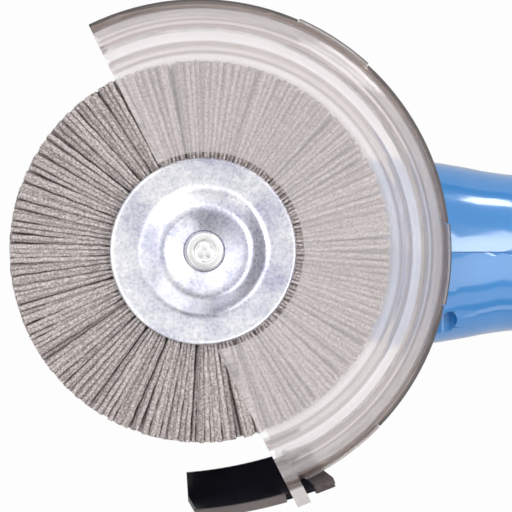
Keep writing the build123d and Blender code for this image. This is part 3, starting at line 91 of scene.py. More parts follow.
# Points of a spun piece become one when they lie this close.
SEAM_GAP = 0.002 * MM

# A rounded corner takes at most this share of the lines that meet at it.
CORNER_SHARE = 0.49


class Body(Enum):
    """CAD bodies that the new pieces ride on."""

    CASING = "casing"
    WHEEL = "wheel"
    GUARD = "guard"
    STRIP = "strip"
    LOCK = "lock"
    SWITCH = "switch"


class NodeSheet:
    """A node tree with short calls to add and join nodes."""

    def __init__(self, tree: bpy.types.NodeTree) -> None:
        """Take hold of a tree.

        Args:
            tree: Nodes of a material or of the world.
        """
        self.tree = tree

    def add(
        self, kind: str, inputs: dict[str | int, object] | None = None, **settings: object
    ) -> bpy.types.Node:
        """Add a node.

        Args:
            kind: Blender's node type.
            inputs: Plain values or sockets for the node's inputs.
            **settings: Attributes of the node.

        Returns:
            The new node.
        """
        node = self.tree.nodes.new(kind)
        for key, value in settings.items():
            setattr(node, key, value)
        for key, value in (inputs or {}).items():
            self.feed(node.inputs[key], value)
        return node

    def feed(self, target: Socket, value: object) -> None:
        """Link a socket to another one, or set it to a plain value."""
        if isinstance(value, Socket):
            self.tree.links.new(value, target)
        else:
            target.default_value = value

    def spread(self, value: Socket, low: float, high: float, span: Span = (0.0, 1.0)) -> Socket:
        """Map a span of a value to a range, held at its ends."""
        inputs = {"Value": value, "From Min": span[0], "From Max": span[1], "To Min": low, "To Max": high}
        return self.add("ShaderNodeMapRange", inputs).outputs["Result"]

    def compute(self, kind: str, a: Socket, b: Socket) -> Socket:
        """One of Blender's sums on two values."""
        return self.add("ShaderNodeMath", {0: a, 1: b}, operation=kind).outputs["Value"]

    def blend(self, share: Socket, a: Socket | float, b: Socket | float) -> Socket:
        """A value that gives way to another by a share."""
        return self.add("ShaderNodeMix", {0: share, 2: a, 3: b}).outputs[0]

    def along(self, place: Socket, heading: Triple | Vector) -> Socket:
        """How far a place lies along a heading."""
        node = self.add("ShaderNodeVectorMath", {0: place, 1: heading}, operation="DOT_PRODUCT")
        return node.outputs["Value"]


class MaterialSheet(NodeSheet):
    """A material's nodes around its Principled shader, with patterns on object coordinates."""

    def __init__(self, name: str) -> None:
        """Start a material.

        Args:
            name: The material's name.
        """
        self.material = bpy.data.materials.new(name)
        self.material.use_nodes = True
        super().__init__(self.material.node_tree)
        self.shader = self.tree.nodes["Principled BSDF"]
        self.output = self.tree.nodes["Material Output"]
        self.coords = self.add("ShaderNodeTexCoord").outputs["Object"]

    def set(self, **values: object) -> None:
        """Give the shader's inputs, named with underscores, plain values or sockets."""
        for key, value in values.items():
            name = key.replace("_", " ").title().replace("Ior", "IOR")
            self.feed(self.shader.inputs[name], value)

    def overlay(self, share: Socket, other: Socket) -> None:
        """Let another shader take the Principled one's place by a share."""
        own = self.shader.outputs["BSDF"]
        both = self.add("ShaderNodeMixShader", {"Fac": share, 1: own, 2: other})
        self.feed(self.output.inputs["Surface"], both.outputs["Shader"])

    def noise(self, scale: float, detail: float = 3.0, stretch: Triple = (1, 1, 1)) -> Socket:
        """Noise on object coordinates.

        Args:
            scale: Features per metre.
            detail: Octaves of finer noise.
            stretch: Scale along each axis.

        Returns:
            The noise value's socket.
        """
        place = self.add("ShaderNodeMapping", {"Vector": self.coords, "Scale": stretch})
        inputs = {"Vector": place.outputs["Vector"], "Scale": scale, "Detail": detail}
        return self.add("ShaderNodeTexNoise", inputs).outputs["Fac"]

    def cells(self, scale: float) -> Socket:
        """Colours of Voronoi cells, so many to the metre, with one value a cell."""
        return self.add("ShaderNodeTexVoronoi", {"Vector": self.coords, "Scale": scale}).outputs["Color"]

    def ramp(self, value: Socket, stops: list[tuple[float, Colour]]) -> Socket:
        """A colour ramp.

        Args:
            value: What drives the ramp.
            stops: Positions and colours.

        Returns:
            The colour socket.
        """
        node = self.add("ShaderNodeValToRGB", {"Fac": value})
        elements = node.color_ramp.elements
        while len(elements) < len(stops):
            elements.new(0.5)
        for element, (place, colour) in zip(elements, stops):
            element.position = place
            element.color = (*colour, 1.0)
        return node.outputs["Color"]

    def patchy(self, value: Socket, dark: Colour, light: Colour, span: Span = PATCH_SPAN) -> Socket:
        """A colour that goes from dark to light over a span of a value."""
        return self.ramp(value, list(zip(span, (dark, light))))

    def mix(self, share: Socket | float, a: Socket, b: Socket) -> Socket:
        """A colour that gives way to another by a share."""
        return self.add("ShaderNodeMix", {0: share, 6: a, 7: b}, data_type="RGBA").outputs[2]

    def bump(self, height: Socket, depth: float, strength: float) -> None:
        """Give the shader a bump.

        Args:
            height: The height value.
            depth: Height of a value of 1, in metres.
            strength: How strongly the bump shows.
        """
        node = self.add("ShaderNodeBump", {"Height": height, "Distance": depth, "Strength": strength})
        self.set(normal=node.outputs["Normal"])


class Coating:
    """A finish, which paints a new material."""

    name: str

    def build(self) -> Material:
        """Make the material.

        Returns:
            The new material.
        """
        sheet = MaterialSheet(self.name)
        self.paint(sheet)
        return sheet.material

    def paint(self, sheet: MaterialSheet) -> None:
        """Set the shader up.

        Args:
            sheet: The material's nodes.
        """
        raise NotImplementedError


@dataclass(frozen=True)
class Finish(Coating):
    """A moulded, cast or turned surface: one colour with small variation, roughness and grain."""

    name: str
    colour: Colour
    rough: Span = (0.35, 0.5)
    metallic: float = 0.0
    variation: float = 0.12
    patch: float = 60.0
    patch_detail: float = 4.0
    grain: float = 2500.0
    grain_detail: float = 2.0
    grain_depth: float = 0.02 * MM
    grain_strength: float = 0.6
    coat: float = 0.0
    coat_rough: float = 0.08
    shine: float = 0.5
    stretch: Triple = (1.0, 1.0, 1.0)

    def paint(self, sheet: MaterialSheet) -> None:
        """Set the shader up."""
        patches = sheet.noise(self.patch, self.patch_detail, self.stretch)
        dark = tuple(c * (1 - self.variation) for c in self.colour)
        light = tuple(min(1.0, c * (1 + self.variation)) for c in self.colour)
        grain = sheet.noise(self.grain, self.grain_detail, self.stretch)
        sheet.bump(grain, self.grain_depth, self.grain_strength)
        sheet.set(
            base_color=sheet.patchy(patches, dark, light),
            roughness=sheet.spread(grain, *self.rough),
            metallic=self.metallic,
            coat_weight=self.coat,
            coat_roughness=self.coat_rough,
            specular_ior_level=self.shine,
        )


@dataclass(frozen=True)
class StripFinish(Finish):
    """Black moulded strip whose grip, beyond a plane through the wheel's axis, is painted a lighter
    grey-brown as painted light on its lit faces.
    """

    # Painted light: the lit grip's grey-brown, mixed over the strip's black.
    lit_grip: Colour = (0.095, 0.08, 0.077)
    lit_grip_lift: float = 1.2
    beyond: Triple = (0.908, 0.419, 0.0)
    fade: float = 0.4 * MM

    def paint(self, sheet: MaterialSheet) -> None:
        """Set the shader up, and mix in the grip's lighter colour, painted light on its lit faces."""
        super().paint(sheet)
        share = sheet.spread(sheet.along(sheet.coords, self.beyond), 0.0, 1.0, (-self.fade, self.fade))
        black = sheet.shader.inputs["Base Color"].links[0].from_socket
        lifted = tuple(c * self.lit_grip_lift for c in self.lit_grip)
        lit_grip = sheet.patchy(sheet.noise(self.patch), self.lit_grip, lifted)
        sheet.set(base_color=sheet.mix(share, black, lit_grip))


@dataclass(frozen=True)
class ClearFinish(Coating):
    """Clear plastic with the veil that use leaves on it, and dust with painted shade lines along its moulded
    steps.

    The rings give how clean the plastic is painted at some distances from the spindle, in millimetres: 1 is
    clean,
    0 is dusty and shaded, and less than 0 is painted shade darker than that. Over solid_span it turns to the
    brackets' thick plastic.
    """

    name: str
    clean: Colour
    clearness: float
    rough: Span = (0.08, 0.16)
    # Colour of dust and painted shade, the rings' dark end.
    dusty_shaded: Colour = (0.5, 0.44, 0.42)
    rings: tuple[Point, ...] = ()
    ior: float = 1.3
    shadow_pass: float = 0.93
    smudge: float = 45.0
    smudge_detail: float = 5.0
    smudge_lift: float = 1.03
    solid_span: Span = (74.6 * MM, 75.0 * MM)
    solid_clearness: float = 0.3

    def paint(self, sheet: MaterialSheet) -> None:
        """Set the shader up."""
        smudge = sheet.noise(self.smudge, self.smudge_detail)
        away = self.from_spindle(sheet)
        sheet.set(
            base_color=self.dust_and_shade(sheet, away) if self.rings else self.veil(sheet, smudge),
            roughness=sheet.spread(smudge, *self.rough),
            transmission_weight=sheet.spread(away, self.clearness, self.solid_clearness, self.solid_span),
            ior=self.ior,
        )
        passed = (self.shadow_pass,) * 3 + (1.0,)
        through = sheet.add("ShaderNodeBsdfTransparent", {"Color": passed}).outputs["BSDF"]
        sheet.overlay(sheet.add("ShaderNodeLightPath").outputs["Is Shadow Ray"], through)

    def veil(self, sheet: MaterialSheet, smudge: Socket) -> Socket:
        """The colour of plastic without rings, lifted a little where it is smudged."""
        light = tuple(min(1.0, c * self.smudge_lift) for c in self.clean)
        return sheet.patchy(smudge, self.clean, light)

    def dust_and_shade(self, sheet: MaterialSheet, away: Socket) -> Socket:
        """The colour of plastic that is dusty and painted with shade lines where the rings say.

        Args:
            sheet: The material's nodes.
            away: Distance from the spindle.

        Returns:
            The colour's socket.
        """
        inner, outer = self.rings[0][0], self.rings[-1][0]
        stops = []
        for radius, share in self.rings:
            colour = Vector(self.dusty_shaded).lerp(Vector(self.clean), share)
            stops.append(((radius - inner) / (outer - inner), tuple(colour)))
        return sheet.ramp(sheet.spread(away, 0.0, 1.0, (inner * MM, outer * MM)), stops)

    def from_spindle(self, sheet: MaterialSheet) -> Socket:
        """Distance from the spindle's axis."""
        flat = sheet.add("ShaderNodeMapping", {"Vector": sheet.coords, "Scale": (1, 1, 0)})
        length = sheet.add("ShaderNodeVectorMath", {0: flat.outputs["Vector"]}, operation="LENGTH")
        return length.outputs["Value"]


@dataclass(frozen=True)
class FilamentFinish(Coating):
    """Abrasive filament: grey strands that differ in tone, speckled with grit."""

    name: str = "abrasive_filament"
    dark: Colour = (0.2, 0.174, 0.168)
    middle: Colour = (0.445, 0.393, 0.382)
    light: Colour = (0.76, 0.694, 0.681)
    tone_stops: Triple = (0.0, 0.15, 1.0)
    grit: float = 1600.0
    grit_detail: float = 4.0
    grit_stops: Triple = (0.38, 0.5, 0.6)
    grit_share: float = 0.66
    grit_depth: float = 0.14 * MM
    grit_strength: float = 0.8
    rough: float = 0.75

    def paint(self, sheet: MaterialSheet) -> None:
        """Set the shader up."""
        colours = self.dark, self.middle, self.light
        strand = sheet.add("ShaderNodeNewGeometry").outputs["Random Per Island"]
        tone = sheet.ramp(strand, list(zip(self.tone_stops, colours)))
        grit = sheet.noise(self.grit, self.grit_detail)
        speckle = sheet.ramp(grit, list(zip(self.grit_stops, colours)))
        sheet.bump(grit, self.grit_depth, self.grit_strength)
        sheet.set(base_color=sheet.mix(self.grit_share, tone, speckle), roughness=self.rough)


@dataclass(frozen=True)
class ZincFinish(Coating):
    """Zinc-plated steel: cool clouds, crystals that catch the light differently and fine mottling."""

    name: str = "zinc_plate"
    cool: Colour = (0.4, 0.41, 0.54)
    light: Colour = (0.83, 0.83, 0.845)
    mottling: float = 0.3
    rough: Span = (0.2, 0.38)
    cloud: float = 44.0
    cloud_detail: float = 6.0
    cloud_span: Span = (0.4, 0.56)
    crystal: float = 520.0
    crystal_span: Span = (0.1, 0.7)
    crystal_share: float = 0.25
    fine: float = 1100.0
    fine_detail: float = 5.0
    fine_span: Span = (0.36, 0.6)
    fine_depth: float = 0.03 * MM
    fine_strength: float = 0.7

    def paint(self, sheet: MaterialSheet) -> None:
        """Set the shader up."""
        cloud = sheet.noise(self.cloud, self.cloud_detail)
        crystal = sheet.cells(self.crystal)
        fine = sheet.noise(self.fine, self.fine_detail)
        tone = sheet.patchy(cloud, self.cool, self.light, self.cloud_span)
        sparkle = sheet.patchy(crystal, self.cool, self.light, self.crystal_span)
        mottle = sheet.patchy(fine, self.cool, self.light, self.fine_span)
        sheet.bump(fine, self.fine_depth, self.fine_strength)
        sheet.set(
            base_color=sheet.mix(self.mottling, sheet.mix(self.crystal_share, tone, sparkle), mottle),
            roughness=sheet.spread(fine, *self.rough),
            metallic=1.0,
        )


@dataclass(frozen=True)
class WoundFinish(Coating):
    """Rows of enamelled wire or stacked sheets along the motor axis, darker where the rows meet as painted
    shade.
    """

    name: str
    colour: Colour
    # Painted shade in the crevices where the rows meet.
    gap_shade: Colour
    row: float = 0.6 * MM
    row_depth: float = 0.15 * MM
    row_strength: float = 0.6
    gap_span: Span = (0.1, 0.45)
    distortion: float = 0.4
    rough: float = 0.35
    metallic: float = 0.9

    def paint(self, sheet: MaterialSheet) -> None:
        """Set the shader up."""
        inputs = {"Vector": sheet.coords, "Scale": 1 / (self.row * math.tau), "Distortion": self.distortion}
        rows = sheet.add("ShaderNodeTexWave", inputs, bands_direction="X").outputs["Fac"]
        sheet.bump(rows, self.row_depth, self.row_strength)
        sheet.set(
            base_color=sheet.patchy(rows, self.gap_shade, self.colour, self.gap_span),
            metallic=self.metallic,
            roughness=self.rough,
        )


# Dust and painted shade lines on the guard's front shell, set against the photograph: distance from the
# spindle in millimetres, and how clean the plastic is painted there.
GUARD_DUST_AND_SHADE: tuple[Point, ...] = (
    (55.3, 0.66),
    (56.4, 0.9),
    (57.4, 0.95),
    (58.0, 0.42),
    (58.5, 0.36),
    (59.0, 0.88),
    (59.5, 0.85),
    (60.1, 0.42),
    (60.9, 0.48),
    (61.6, 1.0),
    (62.2, 1.0),
    (62.7, 0.9),
    (65.0, 0.88),
    (65.7, 0.34),
    (66.4, 0.3),
    (67.0, 0.8),
    (67.4, 0.66),
    (68.0, 0.26),
    (68.7, 0.66),
    (71.4, 0.72),
    (71.9, 0.1),
    (72.4, -0.24),
    (73.9, -0.24),
    (74.3, 0.45),
)


class Palette:
    """All finishes of the tool, each made once."""

    FINISHES = (
        Finish(
            "blue_housing",
            (0.036, 0.25, 0.64),
            (0.15, 0.22),
            variation=0.05,
            grain_depth=0.006 * MM,
            coat=1.0,
        ),
        Finish("cast_head", (0.4, 0.41, 0.43), (0.4, 0.6), metallic=0.85, grain=900, grain_depth=0.06 * MM),
        Finish("turned_steel", (0.58, 0.58, 0.6), (0.22, 0.38), metallic=1.0, stretch=(1, 1, 8)),
        Finish("pressed_steel", (0.5, 0.5, 0.52), (0.3, 0.45), metallic=1.0, patch=90),
        # The strip's black is its plastic darkened further as painted shade for its inner faces; the lip's
        # grey-brown is partly its own colour and partly painted light on its lit top face.
        StripFinish(
            "black_strip",
            (0.006, 0.006, 0.01),
            (0.25, 0.4),
            variation=0.3,
            grain_depth=0.01 * MM,
            shine=0.12,
        ),
        Finish("strip_lip", (0.115, 0.095, 0.09), (0.45, 0.6), variation=0.2, grain_depth=0.03 * MM),
        Finish("dark_edging", (0.075, 0.068, 0.068), (0.35, 0.5), variation=0.2),
        Finish(
            "dark_moulding",
            (0.035, 0.035, 0.038),
            (0.45, 0.6),
            variation=0.25,
            grain=1600,
            grain_depth=0.04 * MM,
        ),
        Finish("black_rubber", (0.02, 0.02, 0.02), (0.65, 0.8), variation=0.3, grain_depth=0.03 * MM),
        Finish("pressed_carbon", (0.03, 0.03, 0.033), (0.5, 0.7), variation=0.35, grain_depth=0.03 * MM),
        Finish("bright_brass", (0.72, 0.52, 0.2), (0.22, 0.35), metallic=1.0),
        Finish("sintered_bronze", (0.48, 0.31, 0.15), (0.4, 0.55), metallic=1.0, grain_depth=0.04 * MM),
        Finish("brush_core", (0.12, 0.11, 0.105), (0.7, 0.9), variation=0.3, grain_depth=0.08 * MM),
        ClearFinish("clear_polycarbonate", (0.99, 0.975, 0.985), 0.8, rings=GUARD_DUST_AND_SHADE),
        # The back shell's warm grey is partly its tint and partly painted shade from the brush and guard
        # over it.
        ClearFinish("frosted_polycarbonate", (0.81, 0.77, 0.77), 0.78, (0.14, 0.24)),
        FilamentFinish(),
        ZincFinish(),
        ZincFinish("zinc_rivet", (0.62, 0.62, 0.64), (0.84, 0.84, 0.83), 0.15, (0.24, 0.34)),
        WoundFinish("enamelled_copper", (0.66, 0.27, 0.1), (0.12, 0.04, 0.015)),
        WoundFinish("sheet_stack", (0.34, 0.34, 0.35), (0.1, 0.1, 0.1), row=0.5 * MM, rough=0.45),
    )

    def __init__(self) -> None:
        """Build every finish."""
        self.materials = {finish.name: finish.build() for finish in self.FINISHES}

    def __getitem__(self, name: str) -> Material:
        """The material of that name."""
        return self.materials[name]


def deselect() -> None:
    """Go to object mode with nothing selected."""
    if bpy.context.mode != "OBJECT":
        bpy.ops.object.mode_set(mode="OBJECT")
    bpy.ops.object.select_all(action="DESELECT")


def pick(obj: Piece) -> None:
    """Select one object alone and make it active."""
    deselect()
    obj.select_set(True)
    bpy.context.view_layer.objects.active = obj


def joined(objects: list[Piece], name: str) -> Piece:
    """Join objects into one.

    Args:
        objects: What to join.
        name: Name of the result.

    Returns:
        The joined object.
    """
    pick(objects[0])
    for obj in objects:
        obj.select_set(True)
    bpy.ops.object.join()
    objects[0].name = name
    return objects[0]


def rounded(corners: list[Triple], steps: int = 6) -> list[Point]:
    """Round the corners of a closed line.

    Args:
        corners: Radius, height and corner radius of each corner, in millimetres.
        steps: Points on each rounded corner.

    Returns:
        The points of the rounded line, in millimetres.
    """
    points: list[Point] = []
    for i, (x, y, radius) in enumerate(corners):
        if radius <= 0:
            points.append((x, y))
            continue
        here = Vector((x, y))
        back = Vector(corners[i - 1][:2]) - here
        ahead = Vector(corners[(i + 1) % len(corners)][:2]) - here
        half = back.angle(ahead) / 2
        reach = min(radius / math.tan(half), back.length * CORNER_SHARE, ahead.length * CORNER_SHARE)
        start, stop = here + back.normalized() * reach, here + ahead.normalized() * reach
        for k in range(steps + 1):
            t = k / steps
            a = start.lerp(here, t)
            b = here.lerp(stop, t)
            points.append(tuple(a.lerp(b, t)))
    return points


def spin(steps: int, angle: float) -> None:
    """Spin the mesh in edit mode about Z, close its seams, face it outwards and leave edit mode.

    Args:
        steps: Spin steps.
        angle: How far it spins.
    """
    bpy.ops.mesh.select_all(action="SELECT")
    bpy.ops.mesh.spin(steps=steps, angle=angle, center=(0, 0, 0), axis=(0, 0, 1))
    bpy.ops.mesh.select_all(action="SELECT")
    bpy.ops.mesh.remove_doubles(threshold=SEAM_GAP)
    bpy.ops.mesh.normals_make_consistent(inside=False)
    bpy.ops.object.mode_set(mode="OBJECT")


def turned(name: str, points: list[Point], turns: int) -> Piece:
    """Draw a closed section by extruding a vertex, and spin it about Z.

    Args:
        name: Name of the piece.
        points: Radius and height of the section's points, in millimetres.
        turns: Spin steps.

    Returns:
        The new object.
    """
    deselect()
    line = [Vector((r * MM, 0, z * MM)) for r, z in [*points, points[0]]]
    bpy.ops.mesh.primitive_plane_add(size=MM)
    obj = bpy.context.object
    obj.name = name
    bpy.ops.object.mode_set(mode="EDIT")
    bpy.ops.mesh.merge(type="CENTER")
    bpy.ops.transform.translate(value=line[0])
    for before, after in zip(line, line[1:]):
        bpy.ops.mesh.extrude_region_move(TRANSFORM_OT_translate={"value": after - before})
    spin(turns, math.tau)
    return obj


def smooth(obj: Piece, angle: float = 35.0) -> None:
    """Shade a piece smooth, with edges sharper than the angle kept crisp."""
    pick(obj)
    bpy.ops.object.shade_smooth_by_angle(angle=math.radians(angle))


def settle(obj: Piece, body: Body, slot: str, material: Material, *nodes: str) -> None:
    """Dress a finished piece and hang it on its CAD body.

    Args:
        obj: The piece.
        body: Body it moves with.
        slot: Material slot of the record; not used.
        material: Its finish.
        *nodes: CAD nodes that it stands for.
    """
    obj.data.materials.clear()
    obj.data.materials.append(material)
    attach(obj, body.value)
    if nodes:
        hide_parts(*nodes)
    LOG.info("%s rides on %s", obj.name, body.value)


@dataclass(frozen=True)
class StrandRow:
    """How the filaments of one row are drawn."""

    knots: int
    sides: int
    missing: float


@dataclass
class BrushWheel:
    """The wheel's filaments: rows of tufts, each of strands that open out, lean, rise and are crimped.

    Places along a strand are shares of its length. Shifts of tufts and strands are shares of their step.
    """

    root_radius: float = 24.6 * MM
    tip_radius: float = 57.3 * MM
    foot_z: float = 81.45 * MM
    top_z: float = 89.95 * MM
    play_z: float = 0.2 * MM
    layers: int = 11
    tufts: int = 78
    tuft_shift: float = 0.14
    tuft_squeeze: float = 0.74
    tuft_open_at: Span = (0.12, 0.7)
    per_tuft: int = 2
    strand_shift: float = 0.22
    thickness: float = 1.52 * MM
    root_share: float = 0.48
    thick_at: float = 0.45
    lean: float = 0.009
    wear: float = 0.35 * MM
    most_wear: float = 1.2 * MM
    rise: float = 0.22 * MM
    root_rise: float = 0.3
    crimp: float = 0.13 * MM
    crimp_lift: float = 0.6
    wave: float = 7.5 * MM
    wave_spread: Span = (0.7, 1.3)
    shown: StrandRow = StrandRow(11, 6, 0.03)
    inner: StrandRow = StrandRow(4, 4, 0.0)
    shown_rows: int = 2
    seed: int = 11

    def build(self, palette: Palette) -> None:
        """Model and dress the filaments.

        Args:
            palette: The tool's finishes.
        """
        dice = random.Random(self.seed)
        rows = list(range(self.layers))
        edge = self.shown_rows
        shown = self.filaments("brush_filaments", rows[:edge] + rows[-edge:], self.shown, dice)
        settle(shown, Body.WHEEL, "filament", palette["abrasive_filament"], "brush_bristles")
        inside = self.filaments("inner_filaments", rows[edge:-edge], self.inner, dice)
        settle(inside, Body.WHEEL, "filament", palette["abrasive_filament"])

    def filaments(self, name: str, rows: list[int], form: StrandRow, dice: random.Random) -> Piece:
        """Lay every filament of some rows as a crimped strand of its own.

        Args:
            name: Name of the piece.
            rows: Which rows, counted from the back.
            form: How the strands are drawn.
            dice: Seeded source of small differences.

        Returns:
            The filaments as one mesh.
        """
        deselect()
        bpy.ops.curve.primitive_nurbs_path_add()
        obj = bpy.context.object
        obj.name = name
        curve = obj.data
        curve.splines.clear()
        curve.bevel_depth = self.thickness / 2
        curve.bevel_resolution = (form.sides - 4) // 2
        curve.use_fill_caps = True
        spots = random.Random(self.seed)
        shift = self.tuft_shift
        tufts = []
        for i in range(self.tufts):
            tufts.append((i + spots.uniform(-shift, shift), spots.uniform(*self.tuft_open_at)))
        shift = self.strand_shift
        for row in rows:
            height = self.foot_z + (self.top_z - self.foot_z) * row / (self.layers - 1)
            stagger = row % 2 / 2
            for middle, opening in tufts:
                for i in range(self.per_tuft):
                    aside = (i + 0.5 + stagger + dice.uniform(-shift, shift)) / self.per_tuft - 0.5
                    if dice.random() >= form.missing:
                        self.strand(curve, dice, form, (middle, aside, opening), height)
        pick(obj)
        bpy.ops.object.convert(target="MESH")
        obj.location = (0, 0, 0)
        bpy.ops.object.shade_smooth()
        return obj

    def strand(
        self, curve: bpy.types.Curve, dice: random.Random, form: StrandRow, seat: Triple, height: float
    ) -> None:
        """Add one crimped filament.

        Args:
            curve: Curve that takes the strand.
            dice: Seeded source of small differences.
            form: How the strand is drawn.
            seat: Its tuft's place, its own place in the tuft, and where along it the tuft has opened out.
            height: Height of its row.
        """
        spline = curve.splines.new("POLY")
        spline.points.add(form.knots - 1)
        middle, aside, opening = seat
        lean = dice.gauss(0, self.lean)
        tip = self.tip_radius - min(abs(dice.gauss(0, self.wear)), self.most_wear)
        rise = dice.gauss(0, self.rise)
        phases = dice.random() * math.tau, dice.random() * math.tau
        wave = self.wave * dice.uniform(*self.wave_spread)
        lowest, highest = self.foot_z - self.play_z, self.top_z + self.play_z
        for k, point in enumerate(spline.points):
            share = k / (form.knots - 1)
            opened = self.tuft_squeeze + (1 - self.tuft_squeeze) * min(1.0, share / opening)
            r = self.root_radius + (tip - self.root_radius) * share
            side = self.crimp * math.sin(math.tau * r / wave + phases[0])
            lift = self.crimp * self.crimp_lift * math.sin(math.tau * r / wave + phases[1])
            a = (middle + aside * opened) * math.tau / self.tufts + lean * share + side / r
            z = height + rise * (self.root_rise + (1 - self.root_rise) * share) + lift
            point.co = (r * math.cos(a), r * math.sin(a), min(max(z, lowest), highest), 1)
            point.radius = self.root_share + (1 - self.root_share) * min(1.0, share / self.thick_at)


@dataclass
class WheelHub:
    """The wheel's hub, in millimetres: a core for the filaments' roots, a pressed plate and a rivet."""

    core_radii: Span = (10.1, 25.6)
    core_heights: Span = (80.9, 90.5)
    core_corner: float = 0.6
    core_steps: int = 3
    plate_z: float = 90.7
    plate_t: float = 1.2
    plate_steps: int = 10
    plate_turns: int = 128
    dish: float = 0.9
    seat_z: float = 76.0
    bore_depth: float = 10.3
    head: float = 2.6
    recess: float = 0.7
    hexagon_radius: float = 12.7
    hexagon_height: float = 3.5
    hexagon_bevel: float = 0.4
    lobe_headings: Triple = (90, 210, 330)
    lobe_scale: Triple = (1.7, 1.6, 0.2)
    lobe_reach: float = 1.15
    crisp_angle: float = 40.0
    turns: int = 72

    def build(self, palette: Palette) -> None:
        """Model and dress the hub.

        Args:
            palette: The tool's finishes.
        """
        settle(self.core(), Body.WHEEL, "filament", palette["brush_core"])
        settle(self.front_plate(), Body.WHEEL, "plate_zinc", palette["zinc_plate"], "brush_front_plate")
        settle(self.arbor(), Body.WHEEL, "plate_zinc", palette["zinc_rivet"], "brush_arbor")

    def core(self) -> Piece:
        """The ring that holds the filaments' roots.

        Returns:
            The ring.
        """
        inner, outer = self.core_radii
        low, high = self.core_heights
        corner = self.core_corner
        corners = [(inner, low, 0), (outer, low, corner), (outer, high, corner), (inner, high, 0)]
        ring = turned("filament_core", rounded(corners, self.core_steps), self.turns)
        smooth(ring)
        return ring

    def front_plate(self) -> Piece:
        """The pressed plate: curled rim, flat, raised ridge and a dish round the rivet.

        Returns:
            The plate.
        """
        z, t = self.plate_z, self.plate_t
        dish = z + self.dish
        section = rounded(
            [
                (5.03, dish, 0),
                (5.03, dish + t, 0.1),
                (5.9, dish + t, 0.2),
                (6.2, z + 1.4 + t, 0.3),
                (13.35, z + 3.0 + t, 5.6),
                (19.1, z + t, 5.0),
                (26.9, z + t + 0.4, 0.4),
                (27.35, z + t + 0.6, 0.3),
                (27.9, z + t + 0.2, 0.4),
                (27.9, z - 1.0, 0.3),
                (26.8, z - 1.0, 0.3),
                (26.8, z + 0.3, 0.3),
                (18.8, z, 4.6),
                (13.1, z + 3.0, 5.2),
                (6.6, z + 1.5, 0.8),
                (6.2, dish, 0.2),
            ],
            self.plate_steps,
        )
        plate = turned("hub_plate", section, self.plate_turns)
        smooth(plate, self.crisp_angle)
        return plate

    def arbor(self) -> Piece:
        """The hub's hexagon, barrel and staked rivet head with its lobed recess.

        Returns:
            The hub.
        """
        seat, dish = self.seat_z, self.plate_z + self.dish
        plate_top = dish + self.plate_t
        top = plate_top + self.head
        floor = top - self.recess
        section = rounded(
            [
                (7.05, seat, 0),
                (10.0, seat, 0.3),
                (10.0, self.plate_z, 0.1),
                (7.0, self.plate_z, 0.1),
                (7.0, dish, 0.1),
                (5.0, dish, 0),
                (5.0, plate_top, 0),
                (5.55, plate_top, 0.1),
                (5.55, top, 0.7),
                (3.5, top + 0.1, 0.5),
                (3.0, floor, 0.5),
                (0.0, floor, 0),
                (0.0, seat + self.bore_depth, 0),
                (7.05, seat + self.bore_depth, 0.2),
            ]
        )
        barrel = turned("hub_barrel", section, self.turns)
        hub = joined([barrel, self.hexagon(), self.lobes(floor)], "hub_rivet")
        smooth(hub, self.crisp_angle)
        return hub

    def hexagon(self) -> Piece:
        """The spanner hexagon at the back of the hub.

        Returns:
            The hexagon.
        """
        height = self.hexagon_height
        deselect()
        bpy.ops.mesh.primitive_cylinder_add(
            vertices=6,
            radius=self.hexagon_radius * MM,
            depth=height * MM,
            location=(0, 0, (self.seat_z + height / 2) * MM),
        )
        hexagon = bpy.context.object
        bpy.ops.object.transform_apply(location=True, rotation=True, scale=True)
        bpy.ops.object.mode_set(mode="EDIT")
        bpy.ops.mesh.select_all(action="SELECT")
        bpy.ops.mesh.bevel(offset=self.hexagon_bevel * MM, segments=2)
        bpy.ops.object.mode_set(mode="OBJECT")
        return hexagon

    def lobes(self, foot: float) -> Piece:
        """The three rounded lobes struck into the rivet's recess.

        Args:
            foot: Height of the recess's floor.

        Returns:
            The lobes.
        """
        copies = []
        for turn in self.lobe_headings:
            deselect()
            bpy.ops.mesh.primitive_uv_sphere_add(segments=20, ring_count=10, radius=MM)
            lobe = bpy.context.object
            lobe.scale = self.lobe_scale
            heading = math.radians(turn)
            lobe.rotation_euler = (0, 0, heading)
            reach = self.lobe_reach * MM
            lobe.location = (reach * math.cos(heading), reach * math.sin(heading), foot * MM)
            bpy.ops.object.transform_apply(location=True, rotation=True, scale=True)
            copies.append(lobe)
        return joined(copies, "rivet_lobes")


@dataclass(frozen=True)
class GuardEnd:
    """A straight end of the guard: its heading in degrees, and how far it lies beyond the spindle."""

    heading: float
    beyond: float


